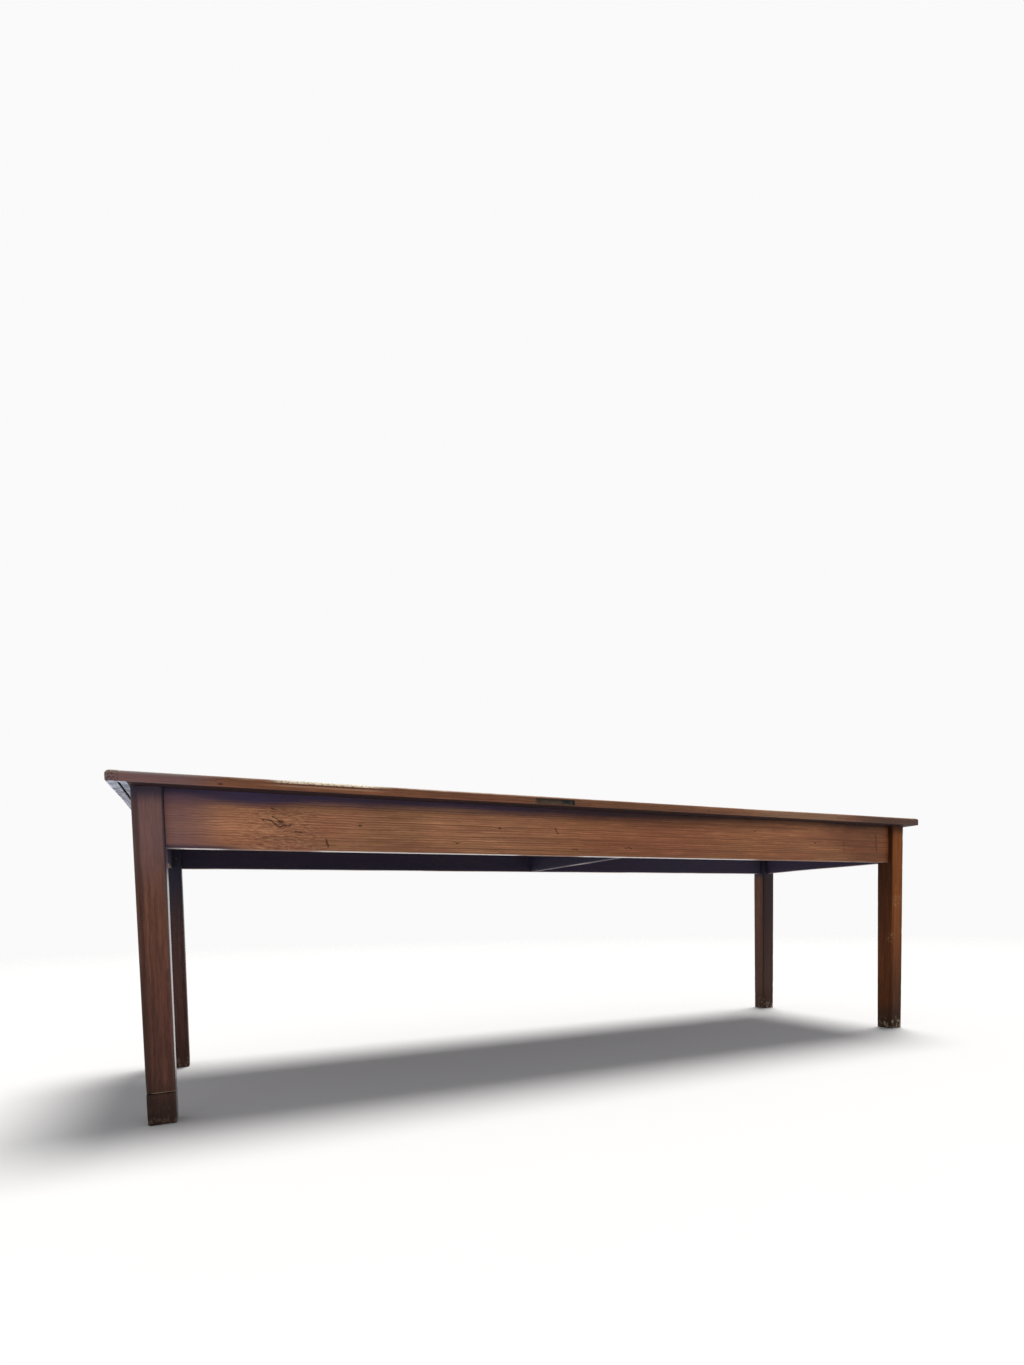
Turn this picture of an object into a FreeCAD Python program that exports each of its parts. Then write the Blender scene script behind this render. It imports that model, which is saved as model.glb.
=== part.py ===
import FreeCAD, Part
import os

import Sketcher
from FreeCAD import Rotation, Vector

# A farmhouse dining table: a boarded top on a pegged frame of aprons and four square legs.
# Lengths are millimetres. X runs along the table, Y from its front to its back, Z up.
# The origin is on the floor, under the middle of the top.

SIZES = {
    # the whole table
    "table_height": 782,
    "top_length": 2606,
    "top_width": 744,
    "end_overhang": 48,
    "side_overhang": 28,
    # the top and the wear on its edges
    "top_thickness": 26,
    "lipping_width": 30,
    "upper_arris_radius": 7,
    "lower_arris_radius": 3,
    "corner_radius": 10,
    "tongue_thickness": 8,
    "board_groove_depth": 10,
    "end_tongue_length": 11,
    "end_tongue_inset": 16,
    "glue_gap": 1,
    # the legs
    "leg_width": 64,
    "leg_depth": 60,
    "foot_width": 60,
    "foot_depth": 58,
    "leg_outer_radius": 8,
    "leg_inner_radius": 5,
    "foot_chamfer": 2,
    # the aprons and the rail between them
    "apron_height": 134,
    "apron_thickness": 25,
    "apron_setback": 15,
    "apron_arris_chamfer": 1.5,
    "rail_thickness": 25,
    "rail_offset": 32,
    # their tenons
    "tenon_thickness": 8,
    "tenon_haunch": 30,
    "tenon_shoulder": 12,
    "mortise_web": 4,
    "mortise_wall": 18,
    "rail_tenon_length": 10,
    # the pegs through the tenons
    "peg_radius": 4,
    "peg_set_in": 13,
    "peg_blind_wall": 8,
    # the spliced foot
    "splice_height": 72,
    "dowel_radius": 9,
    "dowel_bite": 32,
    # the buttons that hold the top
    "button_width": 40,
    "button_length": 46,
    "button_thickness": 20,
    "button_tongue_length": 9,
    "button_side_gap": 3,
    # the wood screws in the buttons
    "screw_head_radius": 4,
    "screw_head_height": 3,
    "screw_shank_radius": 2,
    "screw_slot_width": 1,
    "screw_slot_depth": 1.2,
    "screw_bite": 14,
    # the nails in the lippings
    "nail_head_radius": 2.8,
    "nail_head_height": 1.2,
    "nail_shank_radius": 1.5,
    "nail_length": 50,
    # the metal plate in the front edge
    "plate_length": 122,
    "plate_height": 13,
    "plate_thickness": 2.5,
    "plate_offset": 225,
    "plate_screw_inset": 12,
    "plate_screw_length": 16,
    "plate_screw_head_radius": 3.2,
    "plate_screw_head_height": 2,
    "plate_screw_shank_radius": 1.6,
    # how far a cutter stands out of the face that it opens
    "cut_overrun": 2,
}

# Lengths that differ by less than this are the same length.
SHAPE_PRECISION = 1e-4

# The widths of the boards from front to back, as shares of the width of the top.
BOARD_WIDTH_SHARES = (0.26, 0.24, 0.27, 0.23)
# The heights of the pegs, as shares of the height of their tenon.
LONG_PEG_SHARES = (0.20, 0.65)
END_PEG_SHARES = (0.42, 0.87)
# The places of the buttons, as shares of the clear length of the apron between its legs.
LONG_BUTTON_SHARES = (0.08, 0.36, 0.64, 0.92)
END_BUTTON_SHARES = (0.25, 0.75)

# The directions that mirror images are taken in, and the turns of pins that lie level
ALONG = Vector(1, 0, 0)
ACROSS = Vector(0, 1, 0)
UP = Vector(0, 0, 1)
TURN_TO_BACK = Rotation(UP, ACROSS)
TURN_TO_FRONT = Rotation(UP, -ACROSS)
TURN_TO_RIGHT = Rotation(UP, ALONG)
TURN_TO_LEFT = Rotation(UP, -ALONG)


class Formula:
    """A length worked out from the sheet, kept as the text of an expression."""

    def __init__(self, text):
        self.text = text

    def __add__(self, other):
        return Formula(f"({self.text} + {text_of(other)})")

    def __radd__(self, other):
        return Formula(f"({text_of(other)} + {self.text})")

    def __sub__(self, other):
        return Formula(f"({self.text} - {text_of(other)})")

    def __rsub__(self, other):
        return Formula(f"({text_of(other)} - {self.text})")

    def __mul__(self, other):
        return Formula(f"({self.text} * {text_of(other)})")

    def __truediv__(self, other):
        return Formula(f"({self.text} / {text_of(other)})")

    def __neg__(self):
        return Formula(f"(0 - {self.text})")


class Sheet:
    """The sheet of driving dimensions. sheet.leg_width is a formula that names that cell."""

    def __init__(self, document, sizes):
        self.cells = document.addObject("Spreadsheet::Sheet", "Sizes")
        for row, (alias, length) in enumerate(sizes.items(), start=1):
            self.cells.set(f"A{row}", alias)
            self.cells.set(f"B{row}", str(length))
            self.cells.setAlias(f"B{row}", alias)
        document.recompute()

    def __getattr__(self, alias):
        return Formula("Sizes." + alias)

    def number(self, formula):
        """What a formula comes to now, in millimetres."""
        return float(self.cells.evalExpression(text_of(formula)))


def text_of(formula):
    return formula.text if isinstance(formula, Formula) else str(formula)


# Small tools that the pieces share

def bind(thing, name, formula):
    thing.setExpression(name, text_of(formula))


def place(thing, x=0, y=0, z=0, turn=None):
    """Put a thing at a place given by formulas, turned first where a rotation is given."""
    if turn is not None:
        thing.Placement.Rotation = turn
    bind(thing, "Placement.Base.x", x)
    bind(thing, "Placement.Base.y", y)
    bind(thing, "Placement.Base.z", z)


def new_body(label):
    body = document.addObject("PartDesign::Body", label)
    body.Label = label
    return body


def block(body, name, x, y, z, cut=False):
    """A rectangular block that is added to a body or cut from it. x, y and z are (low, high)."""
    kind = "PartDesign::SubtractiveBox" if cut else "PartDesign::AdditiveBox"
    box = body.newObject(kind, name)
    bind(box, "Length", x[1] - x[0])
    bind(box, "Width", y[1] - y[0])
    bind(box, "Height", z[1] - z[0])
    place(box, x[0], y[0], z[0])
    return box


def origin_plane(body, role):
    return next(plane for plane in body.Origin.OriginFeatures if plane.Role == role)


def new_sketch(body, name, role, height=0):
    """A sketch on one of the body's own origin planes, raised along that plane's normal."""
    sketch = body.newObject("Sketcher::SketchObject", name)
    sketch.AttachmentSupport = [(origin_plane(body, role), "")]
    sketch.MapMode = "FlatFace"
    bind(sketch, "AttachmentOffset.Base.z", height)
    return sketch


def pin(sketch, curve, end, x, y):
    """Hold one end of a sketch curve at a place given by two formulas."""
    for kind, axis, where in (("DistanceX", -2, x), ("DistanceY", -1, y)):
        if text_of(where) == "0":
            sketch.addConstraint(Sketcher.Constraint("PointOnObject", curve, end, axis))
            continue
        held = sketch.addConstraint(Sketcher.Constraint(kind, -1, 1, curve, end, sheet.number(where)))
        sketch.setExpression(f"Constraints[{held}]", text_of(where))


def draw_outline(sketch, corners):
    """A closed outline of straight lines, each corner held by its own two formulas."""
    points = [Vector(sheet.number(x), sheet.number(y), 0) for x, y in corners]
    count = len(points)
    for index, point in enumerate(points):
        sketch.addGeometry(Part.LineSegment(point, points[(index + 1) % count]), False)
    for index in range(count):
        sketch.addConstraint(Sketcher.Constraint("Coincident", index, 2, (index + 1) % count, 1))
    for index, (x, y) in enumerate(corners):
        pin(sketch, index, 1, x, y)


def draw_rounded_rectangle(sketch, width, depth, outer_radius, inner_radius):
    """A rectangle from the origin to (width, depth), with its corner at the origin rounder than the rest."""
    radii = (outer_radius, inner_radius, inner_radius, inner_radius)
    corners = ((0, 0), (width, 0), (width, depth), (0, depth))
    lines = [2 * index for index in range(4)]
    arcs = [2 * index + 1 for index in range(4)]
    for index, (x, y) in enumerate(corners):
        # the side from this corner to the next, then the arc at the next corner
        ahead = (index + 1) % 4
        start = Vector(sheet.number(x), sheet.number(y), 0)
        end = Vector(sheet.number(corners[ahead][0]), sheet.number(corners[ahead][1]), 0)
        along = (end - start).normalize()
        inward = Vector(-along.y, along.x, 0)
        before, after = sheet.number(radii[index]), sheet.number(radii[ahead])
        sketch.addGeometry(Part.LineSegment(start + along * before, end - along * after), False)
        circle = Part.Circle(end - along * after + inward * after, UP, after)
        first = circle.parameter(end - along * after)
        last = circle.parameter(end + inward * after)
        sketch.addGeometry(Part.ArcOfCircle(circle, first, last), False)
    for index in range(4):
        ahead = (index + 1) % 4
        sketch.addConstraint(Sketcher.Constraint("Tangent", lines[index], 2, arcs[index], 1))
        sketch.addConstraint(Sketcher.Constraint("Tangent", arcs[index], 2, lines[ahead], 1))
        sketch.addConstraint(Sketcher.Constraint("Vertical" if index % 2 else "Horizontal", lines[index]))
        rounding = radii[ahead]
        held = sketch.addConstraint(Sketcher.Constraint("Radius", arcs[index], sheet.number(rounding)))
        sketch.setExpression(f"Constraints[{held}]", text_of(rounding))
    sketch.addConstraint(Sketcher.Constraint("PointOnObject", lines[0], 1, -1))
    sketch.addConstraint(Sketcher.Constraint("PointOnObject", lines[3], 1, -2))
    for kind, line, reach in (("DistanceX", lines[1], width), ("DistanceY", lines[2], depth)):
        held = sketch.addConstraint(Sketcher.Constraint(kind, -1, 1, line, 1, sheet.number(reach)))
        sketch.setExpression(f"Constraints[{held}]", text_of(reach))


def pad(body, sketch, length, centred=False):
    feature = body.newObject("PartDesign::Pad", sketch.Name + "_pad")
    feature.Profile = sketch
    bind(feature, "Length", length)
    feature.Midplane = centred
    sketch.Visibility = False
    return feature


def edges_where(feature, wanted):
    """The names of those edges of a feature that pass a test."""
    document.recompute()
    return [f"Edge{index}" for index, edge in enumerate(feature.Shape.Edges, start=1) if wanted(edge)]


def ease(body, kind, name, feature, edges, size):
    """A fillet or a chamfer on named edges of the feature before it."""
    easing = body.newObject("PartDesign::" + kind, name)
    easing.Base = (feature, edges)
    bind(easing, "Radius" if kind == "Fillet" else "Size", size)
    return easing


def near(first, second):
    return abs(first - second) < SHAPE_PRECISION


def lies_at(edge, axis, where):
    return all(near(getattr(vertex, axis), where) for vertex in edge.Vertexes)


def runs_along_x(edge):
    return near(edge.Vertexes[0].Y, edge.Vertexes[-1].Y)


def is_upright(edge):
    return not near(edge.Vertexes[0].Z, edge.Vertexes[-1].Z)


def boolean(kind, label, base, tool):
    result = document.addObject("Part::" + kind, label)
    result.Base = base
    result.Tool = tool
    result.Refine = True
    result.Label = label
    return result


def group(label, links):
    result = document.addObject("Part::Compound", label)
    result.Links = links
    result.Label = label
    return result


def mirror_image(label, source, normal):
    image = document.addObject("Part::Mirroring", label)
    image.Source = source
    image.Normal = normal
    image.Label = label
    return image


def headed_pin(label, head_radius, head_height, shank_radius, length, slotted=False):
    """A nail or a screw: its head's face at the origin and its point along +Z."""
    body = new_body(label)
    profile = new_sketch(body, label + "_profile", "XZ_Plane")
    draw_outline(profile, (
        (0, 0),
        (head_radius, 0),
        (shank_radius, head_height),
        (shank_radius, length),
        (0, length),
    ))
    turned = body.newObject("PartDesign::Revolution", label + "_turned")
    turned.Profile = profile
    turned.ReferenceAxis = (profile, ["V_Axis"])
    if slotted:
        block(
            body, label + "_slot", cut=True,
            x=(-head_radius - sheet.cut_overrun, head_radius + sheet.cut_overrun),
            y=(-sheet.screw_slot_width / 2, sheet.screw_slot_width / 2),
            z=(-sheet.cut_overrun, sheet.screw_slot_depth),
        )
    return body


document = FreeCAD.newDocument("farmhouse_table")
sheet = Sheet(document, SIZES)

# Places that several pieces share
half_length = (sheet.top_length - sheet.end_overhang * 2) / 2
half_width = (sheet.top_width - sheet.side_overhang * 2) / 2
leg_height = sheet.table_height - sheet.top_thickness
apron_bottom = leg_height - sheet.apron_height
apron_inner_y = sheet.apron_setback + sheet.apron_thickness
tenon_low = sheet.tenon_shoulder
tenon_high = sheet.apron_height - sheet.tenon_haunch
cheek_low = (sheet.apron_thickness - sheet.tenon_thickness) / 2
cheek_high = (sheet.apron_thickness + sheet.tenon_thickness) / 2
long_tenon_length = (
    sheet.leg_width - sheet.apron_setback - cheek_high - sheet.mortise_web - sheet.glue_gap
)
end_tenon_length = sheet.leg_depth - sheet.mortise_wall - sheet.glue_gap
long_apron_length = (half_length - sheet.leg_width) * 2
end_apron_length = (half_width - sheet.leg_depth) * 2


# Legs

def make_leg_blank():
    """The front left leg: its outer corner at the local origin, slimmer at the foot."""
    body = new_body("leg_blank")
    foot = new_sketch(body, "foot_section", "XY_Plane")
    draw_rounded_rectangle(
        foot, sheet.foot_width, sheet.foot_depth, sheet.leg_outer_radius, sheet.leg_inner_radius
    )
    knee = new_sketch(body, "knee_section", "XY_Plane", apron_bottom)
    draw_rounded_rectangle(
        knee, sheet.leg_width, sheet.leg_depth, sheet.leg_outer_radius, sheet.leg_inner_radius
    )
    taper = body.newObject("PartDesign::AdditiveLoft", "leg_taper")
    taper.Profile = foot
    taper.Sections = [knee]
    taper.Ruled = True
    pad(body, knee, sheet.apron_height)
    block(
        body, "long_mortise", cut=True,
        x=(sheet.leg_width - long_tenon_length - sheet.glue_gap, sheet.leg_width + sheet.cut_overrun),
        y=(sheet.apron_setback + cheek_low, sheet.apron_setback + cheek_high),
        z=(apron_bottom + tenon_low, apron_bottom + tenon_high),
    )
    mortised = block(
        body, "end_mortise", cut=True,
        x=(sheet.apron_setback + cheek_low, sheet.apron_setback + cheek_high),
        y=(sheet.leg_depth - end_tenon_length - sheet.glue_gap, sheet.leg_depth + sheet.cut_overrun),
        z=(apron_bottom + tenon_low, apron_bottom + tenon_high),
    )
    sole = edges_where(mortised, lambda edge: lies_at(edge, "Z", 0))
    ease(body, "Chamfer", "foot_easing", mortised, sole, sheet.foot_chamfer)
    place(body, -half_length, -half_width)
    return body


def make_corner_pegs():
    """The four pegs in the front left leg, driven from its inner faces and stopped inside it."""
    tenon_height = tenon_high - tenon_low
    pegs = []
    for number, share in enumerate(LONG_PEG_SHARES, start=1):
        peg = document.addObject("Part::Cylinder", f"long_peg_{number}")
        bind(peg, "Radius", sheet.peg_radius)
        bind(peg, "Height", sheet.leg_depth - sheet.peg_blind_wall)
        place(
            peg, turn=TURN_TO_FRONT,
            x=-half_length + sheet.leg_width - sheet.peg_set_in,
            y=-half_width + sheet.leg_depth,
            z=apron_bottom + tenon_low + tenon_height * share,
        )
        pegs.append(peg)
    for number, share in enumerate(END_PEG_SHARES, start=1):
        peg = document.addObject("Part::Cylinder", f"end_peg_{number}")
        bind(peg, "Radius", sheet.peg_radius)
        bind(peg, "Height", sheet.leg_width - sheet.peg_blind_wall)
        place(
            peg, turn=TURN_TO_LEFT,
            x=-half_length + sheet.leg_width,
            y=-half_width + sheet.leg_depth - sheet.peg_set_in,
            z=apron_bottom + tenon_low + tenon_height * share,
        )
        pegs.append(peg)
    return group("corner_pegs", pegs)


def make_foot_dowel():
    """The dowel that holds the spliced foot, centred in the foot and half in each piece."""
    dowel = document.addObject("Part::Cylinder", "foot_dowel")
    bind(dowel, "Radius", sheet.dowel_radius)
    bind(dowel, "Height", sheet.dowel_bite * 2)
    place(
        dowel,
        x=-half_length + sheet.foot_width / 2,
        y=-half_width + sheet.foot_depth / 2,
        z=sheet.splice_height - sheet.dowel_bite,
    )
    dowel.Label = "foot_dowel"
    return dowel


def splice_foot(leg, dowel):
    """The front left leg above the splice, and the foot below it."""
    below = document.addObject("Part::Box", "below_splice")
    bind(below, "Length", sheet.leg_width + sheet.cut_overrun * 2)
    bind(below, "Width", sheet.leg_depth + sheet.cut_overrun * 2)
    bind(below, "Height", sheet.splice_height + sheet.cut_overrun)
    place(
        below,
        x=-half_length - sheet.cut_overrun,
        y=-half_width - sheet.cut_overrun,
        z=-sheet.cut_overrun,
    )
    upper = boolean("Cut", "leg_above_splice", leg, below)
    lower = boolean("Common", "leg_below_splice", leg, below)
    front_left_leg = boolean("Cut", "front_left_leg", upper, dowel)
    front_left_foot = boolean("Cut", "front_left_foot", lower, dowel)
    return front_left_leg, front_left_foot


# Aprons and cross rail

def make_long_apron():
    """The front apron: its outer face in the local XZ plane, its middle over the local origin."""
    body = new_body("long_apron_blank")
    board = block(
        body, "long_apron_board",
        x=(-long_apron_length / 2, long_apron_length / 2),
        y=(0, sheet.apron_thickness),
        z=(0, sheet.apron_height),
    )
    lower_edges = edges_where(board, lambda edge: lies_at(edge, "Z", 0) and runs_along_x(edge))
    ease(body, "Chamfer", "long_apron_easing", board, lower_edges, sheet.apron_arris_chamfer)
    block(
        body, "long_apron_tenons",
        x=(-long_apron_length / 2 - long_tenon_length, long_apron_length / 2 + long_tenon_length),
        y=(cheek_low, cheek_high),
        z=(tenon_low, tenon_high),
    )
    block(
        body, "rail_mortise", cut=True,
        x=(sheet.rail_offset - sheet.tenon_thickness / 2, sheet.rail_offset + sheet.tenon_thickness / 2),
        y=(
            sheet.apron_thickness - sheet.rail_tenon_length - sheet.glue_gap,
            sheet.apron_thickness + sheet.cut_overrun,
        ),
        z=(tenon_low, tenon_high),
    )
    for number, share in enumerate(LONG_BUTTON_SHARES, start=1):
        middle = long_apron_length * share - long_apron_length / 2
        cut_button_slot(body, f"long_button_slot_{number}", middle, along="x")
    place(body, y=-half_width + sheet.apron_setback, z=apron_bottom)
    return body


def make_end_apron():
    """The left end apron: its outer face in the local YZ plane, its middle over the local origin."""
    body = new_body("end_apron_blank")
    board = block(
        body, "end_apron_board",
        x=(0, sheet.apron_thickness),
        y=(-end_apron_length / 2, end_apron_length / 2),
        z=(0, sheet.apron_height),
    )
    lower_edges = edges_where(board, lambda edge: lies_at(edge, "Z", 0) and not runs_along_x(edge))
    ease(body, "Chamfer", "end_apron_easing", board, lower_edges, sheet.apron_arris_chamfer)
    block(
        body, "end_apron_tenons",
        x=(cheek_low, cheek_high),
        y=(-end_apron_length / 2 - end_tenon_length, end_apron_length / 2 + end_tenon_length),
        z=(tenon_low, tenon_high),
    )
    for number, share in enumerate(END_BUTTON_SHARES, start=1):
        middle = end_apron_length * share - end_apron_length / 2
        cut_button_slot(body, f"end_button_slot_{number}", middle, along="y")
    place(body, x=-half_length + sheet.apron_setback, z=apron_bottom)
    return body


def cut_button_slot(body, name, middle, along):
    """A slot in an apron's inner face, a little longer than the button's tongue that it takes."""
    half_slot = sheet.button_width / 2 + sheet.button_side_gap
    across = (
        sheet.apron_thickness - sheet.button_tongue_length - sheet.glue_gap,
        sheet.apron_thickness + sheet.cut_overrun,
    )
    down = sheet.apron_height - sheet.button_thickness
    spans = {
        "x": dict(x=(middle - half_slot, middle + half_slot), y=across),
        "y": dict(x=across, y=(middle - half_slot, middle + half_slot)),
    }
    block(body, name, cut=True, z=(down, down + sheet.tongue_thickness), **spans[along])


def make_cross_rail():
    """The rail that keeps the long aprons apart near mid-length, with a stub tenon at each end."""
    body = new_body("cross_rail")
    half_rail = half_width - apron_inner_y
    board = block(
        body, "cross_rail_board",
        x=(sheet.rail_offset - sheet.rail_thickness / 2, sheet.rail_offset + sheet.rail_thickness / 2),
        y=(-half_rail, half_rail),
        z=(0, sheet.apron_height),
    )
    lower_edges = edges_where(board, lambda edge: lies_at(edge, "Z", 0) and not runs_along_x(edge))
    ease(body, "Chamfer", "cross_rail_easing", board, lower_edges, sheet.apron_arris_chamfer)
    block(
        body, "cross_rail_tenons",
        x=(sheet.rail_offset - sheet.tenon_thickness / 2, sheet.rail_offset + sheet.tenon_thickness / 2),
        y=(-half_rail - sheet.rail_tenon_length, half_rail + sheet.rail_tenon_length),
        z=(tenon_low, tenon_high),
    )
    place(body, z=apron_bottom)
    return body


# Buttons and their screws

def button_places():
    """Where the front and left buttons meet their aprons: name, x, y and turn about the vertical."""
    places = []
    for number, share in enumerate(LONG_BUTTON_SHARES, start=1):
        x = long_apron_length * share - long_apron_length / 2
        places.append((f"long_{number}", x, -half_width + apron_inner_y, 0))
    for number, share in enumerate(END_BUTTON_SHARES, start=1):
        y = end_apron_length * share - end_apron_length / 2
        places.append((f"end_{number}", -half_length + apron_inner_y, y, -90))
    return places


def make_button(name, x, y, turn):
    """A block under the top whose tongue enters the apron's slot. Local +Y points away from the apron."""
    body = new_body(f"button_{name}")
    profile = new_sketch(body, f"button_{name}_profile", "YZ_Plane", -sheet.button_width / 2)
    draw_outline(profile, (
        (-sheet.button_tongue_length, 0),
        (sheet.button_length, 0),
        (sheet.button_length, sheet.button_thickness),
        (0, sheet.button_thickness),
        (0, sheet.tongue_thickness),
        (-sheet.button_tongue_length, sheet.tongue_thickness),
    ))
    pad(body, profile, sheet.button_width)
    place(body, x, y, leg_height - sheet.button_thickness, turn=Rotation(UP, turn))
    return body


def make_button_screw(name, x, y, turn):
    """The screw up through the middle of a button into the top."""
    screw = headed_pin(
        f"button_screw_{name}", sheet.screw_head_radius, sheet.screw_head_height,
        sheet.screw_shank_radius, sheet.button_thickness + sheet.screw_bite, slotted=True,
    )
    inward = sheet.button_length / 2
    place(
        screw,
        x=x + inward if turn else x,
        y=y if turn else y + inward,
        z=leg_height - sheet.button_thickness,
    )
    return screw


def with_far_side(label, near_pieces, far_label, normal):
    """A group of pieces, and its mirror image on the far side of the table."""
    near_group = group(label, near_pieces)
    return [near_group, mirror_image(far_label, near_group, normal)]


def make_buttons():
    buttons, screws = {"long": [], "end": []}, {"long": [], "end": []}
    for name, x, y, turn in button_places():
        side = name.split("_")[0]
        buttons[side].append(make_button(name, x, y, turn))
        screws[side].append(make_button_screw(name, x, y, turn))
    button_sides = with_far_side("front_buttons", buttons["long"], "back_buttons", ACROSS)
    button_sides += with_far_side("left_buttons", buttons["end"], "right_buttons", ALONG)
    screw_sides = with_far_side("front_screws", screws["long"], "back_screws", ACROSS)
    screw_sides += with_far_side("left_screws", screws["end"], "right_screws", ALONG)
    return group("button_blanks", button_sides), group("button_screws", screw_sides)


# Top

def board_span(number):
    """The front and back edges of a board, by its place in the row of boards."""
    before = sum(BOARD_WIDTH_SHARES[:number])
    after = sum(BOARD_WIDTH_SHARES[:number + 1])
    return (
        sheet.top_width * before - sheet.top_width / 2,
        sheet.top_width * after - sheet.top_width / 2,
    )


tongue_low = (sheet.top_thickness - sheet.tongue_thickness) / 2
tongue_high = (sheet.top_thickness + sheet.tongue_thickness) / 2
half_board_length = sheet.top_length / 2 - sheet.lipping_width


def make_board(number):
    """One board of the top: grooved where it meets the next, and tongued into the lippings."""
    body = new_body(f"top_board_{number + 1}_blank")
    front, back = board_span(number)
    first, last = number == 0, number == len(BOARD_WIDTH_SHARES) - 1
    board = block(
        body, f"board_{number + 1}_plank",
        x=(-half_board_length, half_board_length),
        y=(front, back),
        z=(0, sheet.top_thickness),
    )
    if first or last:
        outer = sheet.number(front if first else back)
        board = round_long_edges(body, board, outer, f"board_{number + 1}")
    grooves = [] if first else [("front_groove", front - sheet.cut_overrun, front + sheet.board_groove_depth)]
    if not last:
        grooves.append(("back_groove", back - sheet.board_groove_depth, back + sheet.cut_overrun))
    for name, low, high in grooves:
        block(
            body, f"board_{number + 1}_{name}", cut=True,
            x=(-half_board_length - sheet.cut_overrun, half_board_length + sheet.cut_overrun),
            y=(low, high),
            z=(tongue_low, tongue_high),
        )
    block(
        body, f"board_{number + 1}_end_tongues",
        x=(-half_board_length - sheet.end_tongue_length, half_board_length + sheet.end_tongue_length),
        y=(front + sheet.end_tongue_inset, back - sheet.end_tongue_inset),
        z=(tongue_low, tongue_high),
    )
    place(body, z=leg_height)
    return body


def round_long_edges(body, board, outer, name):
    """Round the upper and lower arrises of a board's outer edge."""
    thickness = sheet.number(sheet.top_thickness)
    upper_edges = edges_where(
        board, lambda edge: lies_at(edge, "Y", outer) and lies_at(edge, "Z", thickness)
    )
    upper = ease(body, "Fillet", name + "_upper_arris", board, upper_edges, sheet.upper_arris_radius)
    lower_edges = edges_where(upper, lambda edge: lies_at(edge, "Y", outer) and lies_at(edge, "Z", 0))
    return ease(body, "Fillet", name + "_lower_arris", upper, lower_edges, sheet.lower_arris_radius)


def make_tongue(number):
    """A loose tongue in the joint behind a board, a glue gap short of the bottom of each groove."""
    body = new_body(f"board_tongue_{number + 1}")
    joint = board_span(number)[1]
    reach = sheet.board_groove_depth - sheet.glue_gap
    block(
        body, f"tongue_{number + 1}_strip",
        x=(-half_board_length, half_board_length),
        y=(joint - reach, joint + reach),
        z=(tongue_low, tongue_high),
    )
    place(body, z=leg_height)
    return body


def make_lipping():
    """The left end lipping: grooved for the boards' tongues, with worn corners and arrises."""
    body = new_body("lipping_blank")
    outer = -sheet.top_length / 2
    plank = block(
        body, "lipping_plank",
        x=(outer, outer + sheet.lipping_width),
        y=(-sheet.top_width / 2, sheet.top_width / 2),
        z=(0, sheet.top_thickness),
    )
    end = sheet.number(outer)
    joint = sheet.number(-half_board_length)
    thickness = sheet.number(sheet.top_thickness)
    upright = edges_where(plank, lambda edge: lies_at(edge, "X", end) and is_upright(edge))
    cornered = ease(body, "Fillet", "lipping_corners", plank, upright, sheet.corner_radius)
    upper_edges = edges_where(
        cornered, lambda edge: lies_at(edge, "Z", thickness) and not lies_at(edge, "X", joint)
    )
    upper = ease(body, "Fillet", "lipping_upper_arris", cornered, upper_edges, sheet.upper_arris_radius)
    lower_edges = edges_where(
        upper, lambda edge: lies_at(edge, "Z", 0) and not lies_at(edge, "X", joint)
    )
    ease(body, "Fillet", "lipping_lower_arris", upper, lower_edges, sheet.lower_arris_radius)
    half_groove = sheet.top_width / 2 - sheet.end_tongue_inset
    block(
        body, "lipping_groove", cut=True,
        x=(
            -half_board_length - sheet.end_tongue_length - sheet.glue_gap,
            -half_board_length + sheet.cut_overrun,
        ),
        y=(-half_groove, half_groove),
        z=(tongue_low, tongue_high),
    )
    place(body, z=leg_height)
    return body


def make_lipping_nails():
    """A nail through the left lipping into the end of each board."""
    nails = []
    for number in range(len(BOARD_WIDTH_SHARES)):
        front, back = board_span(number)
        nail = headed_pin(
            f"lipping_nail_{number + 1}", sheet.nail_head_radius, sheet.nail_head_height,
            sheet.nail_shank_radius, sheet.nail_length,
        )
        place(
            nail, turn=TURN_TO_RIGHT,
            x=-sheet.top_length / 2,
            y=(front + back) / 2,
            z=leg_height + sheet.top_thickness / 2,
        )
        nails.append(nail)
    return nails


# Metal plate in the front edge

plate_middle = leg_height + (sheet.top_thickness - sheet.upper_arris_radius + sheet.lower_arris_radius) / 2


def make_plate():
    """A plain plate let in flush with the front edge of the top."""
    body = new_body("edge_plate_blank")
    outline = new_sketch(body, "plate_outline", "XZ_Plane")
    left, right = -sheet.plate_length / 2, sheet.plate_length / 2
    low, high = -sheet.plate_height / 2, sheet.plate_height / 2
    draw_outline(outline, ((left, low), (right, low), (right, high), (left, high)))
    plate = pad(body, outline, sheet.plate_thickness)
    plate.Reversed = True
    place(body, x=-sheet.plate_offset, y=-sheet.top_width / 2, z=plate_middle)
    return body


def make_plate_screws():
    screws = []
    reach = sheet.plate_length / 2 - sheet.plate_screw_inset
    for name, x in (("left", -sheet.plate_offset - reach), ("right", -sheet.plate_offset + reach)):
        screw = headed_pin(
            f"plate_screw_{name}", sheet.plate_screw_head_radius, sheet.plate_screw_head_height,
            sheet.plate_screw_shank_radius, sheet.plate_screw_length, slotted=True,
        )
        place(screw, x=x, y=-sheet.top_width / 2, z=plate_middle, turn=TURN_TO_BACK)
        screws.append(screw)
    return group("edge_plate_screws", screws)


# Assembly

nodes = []

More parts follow.
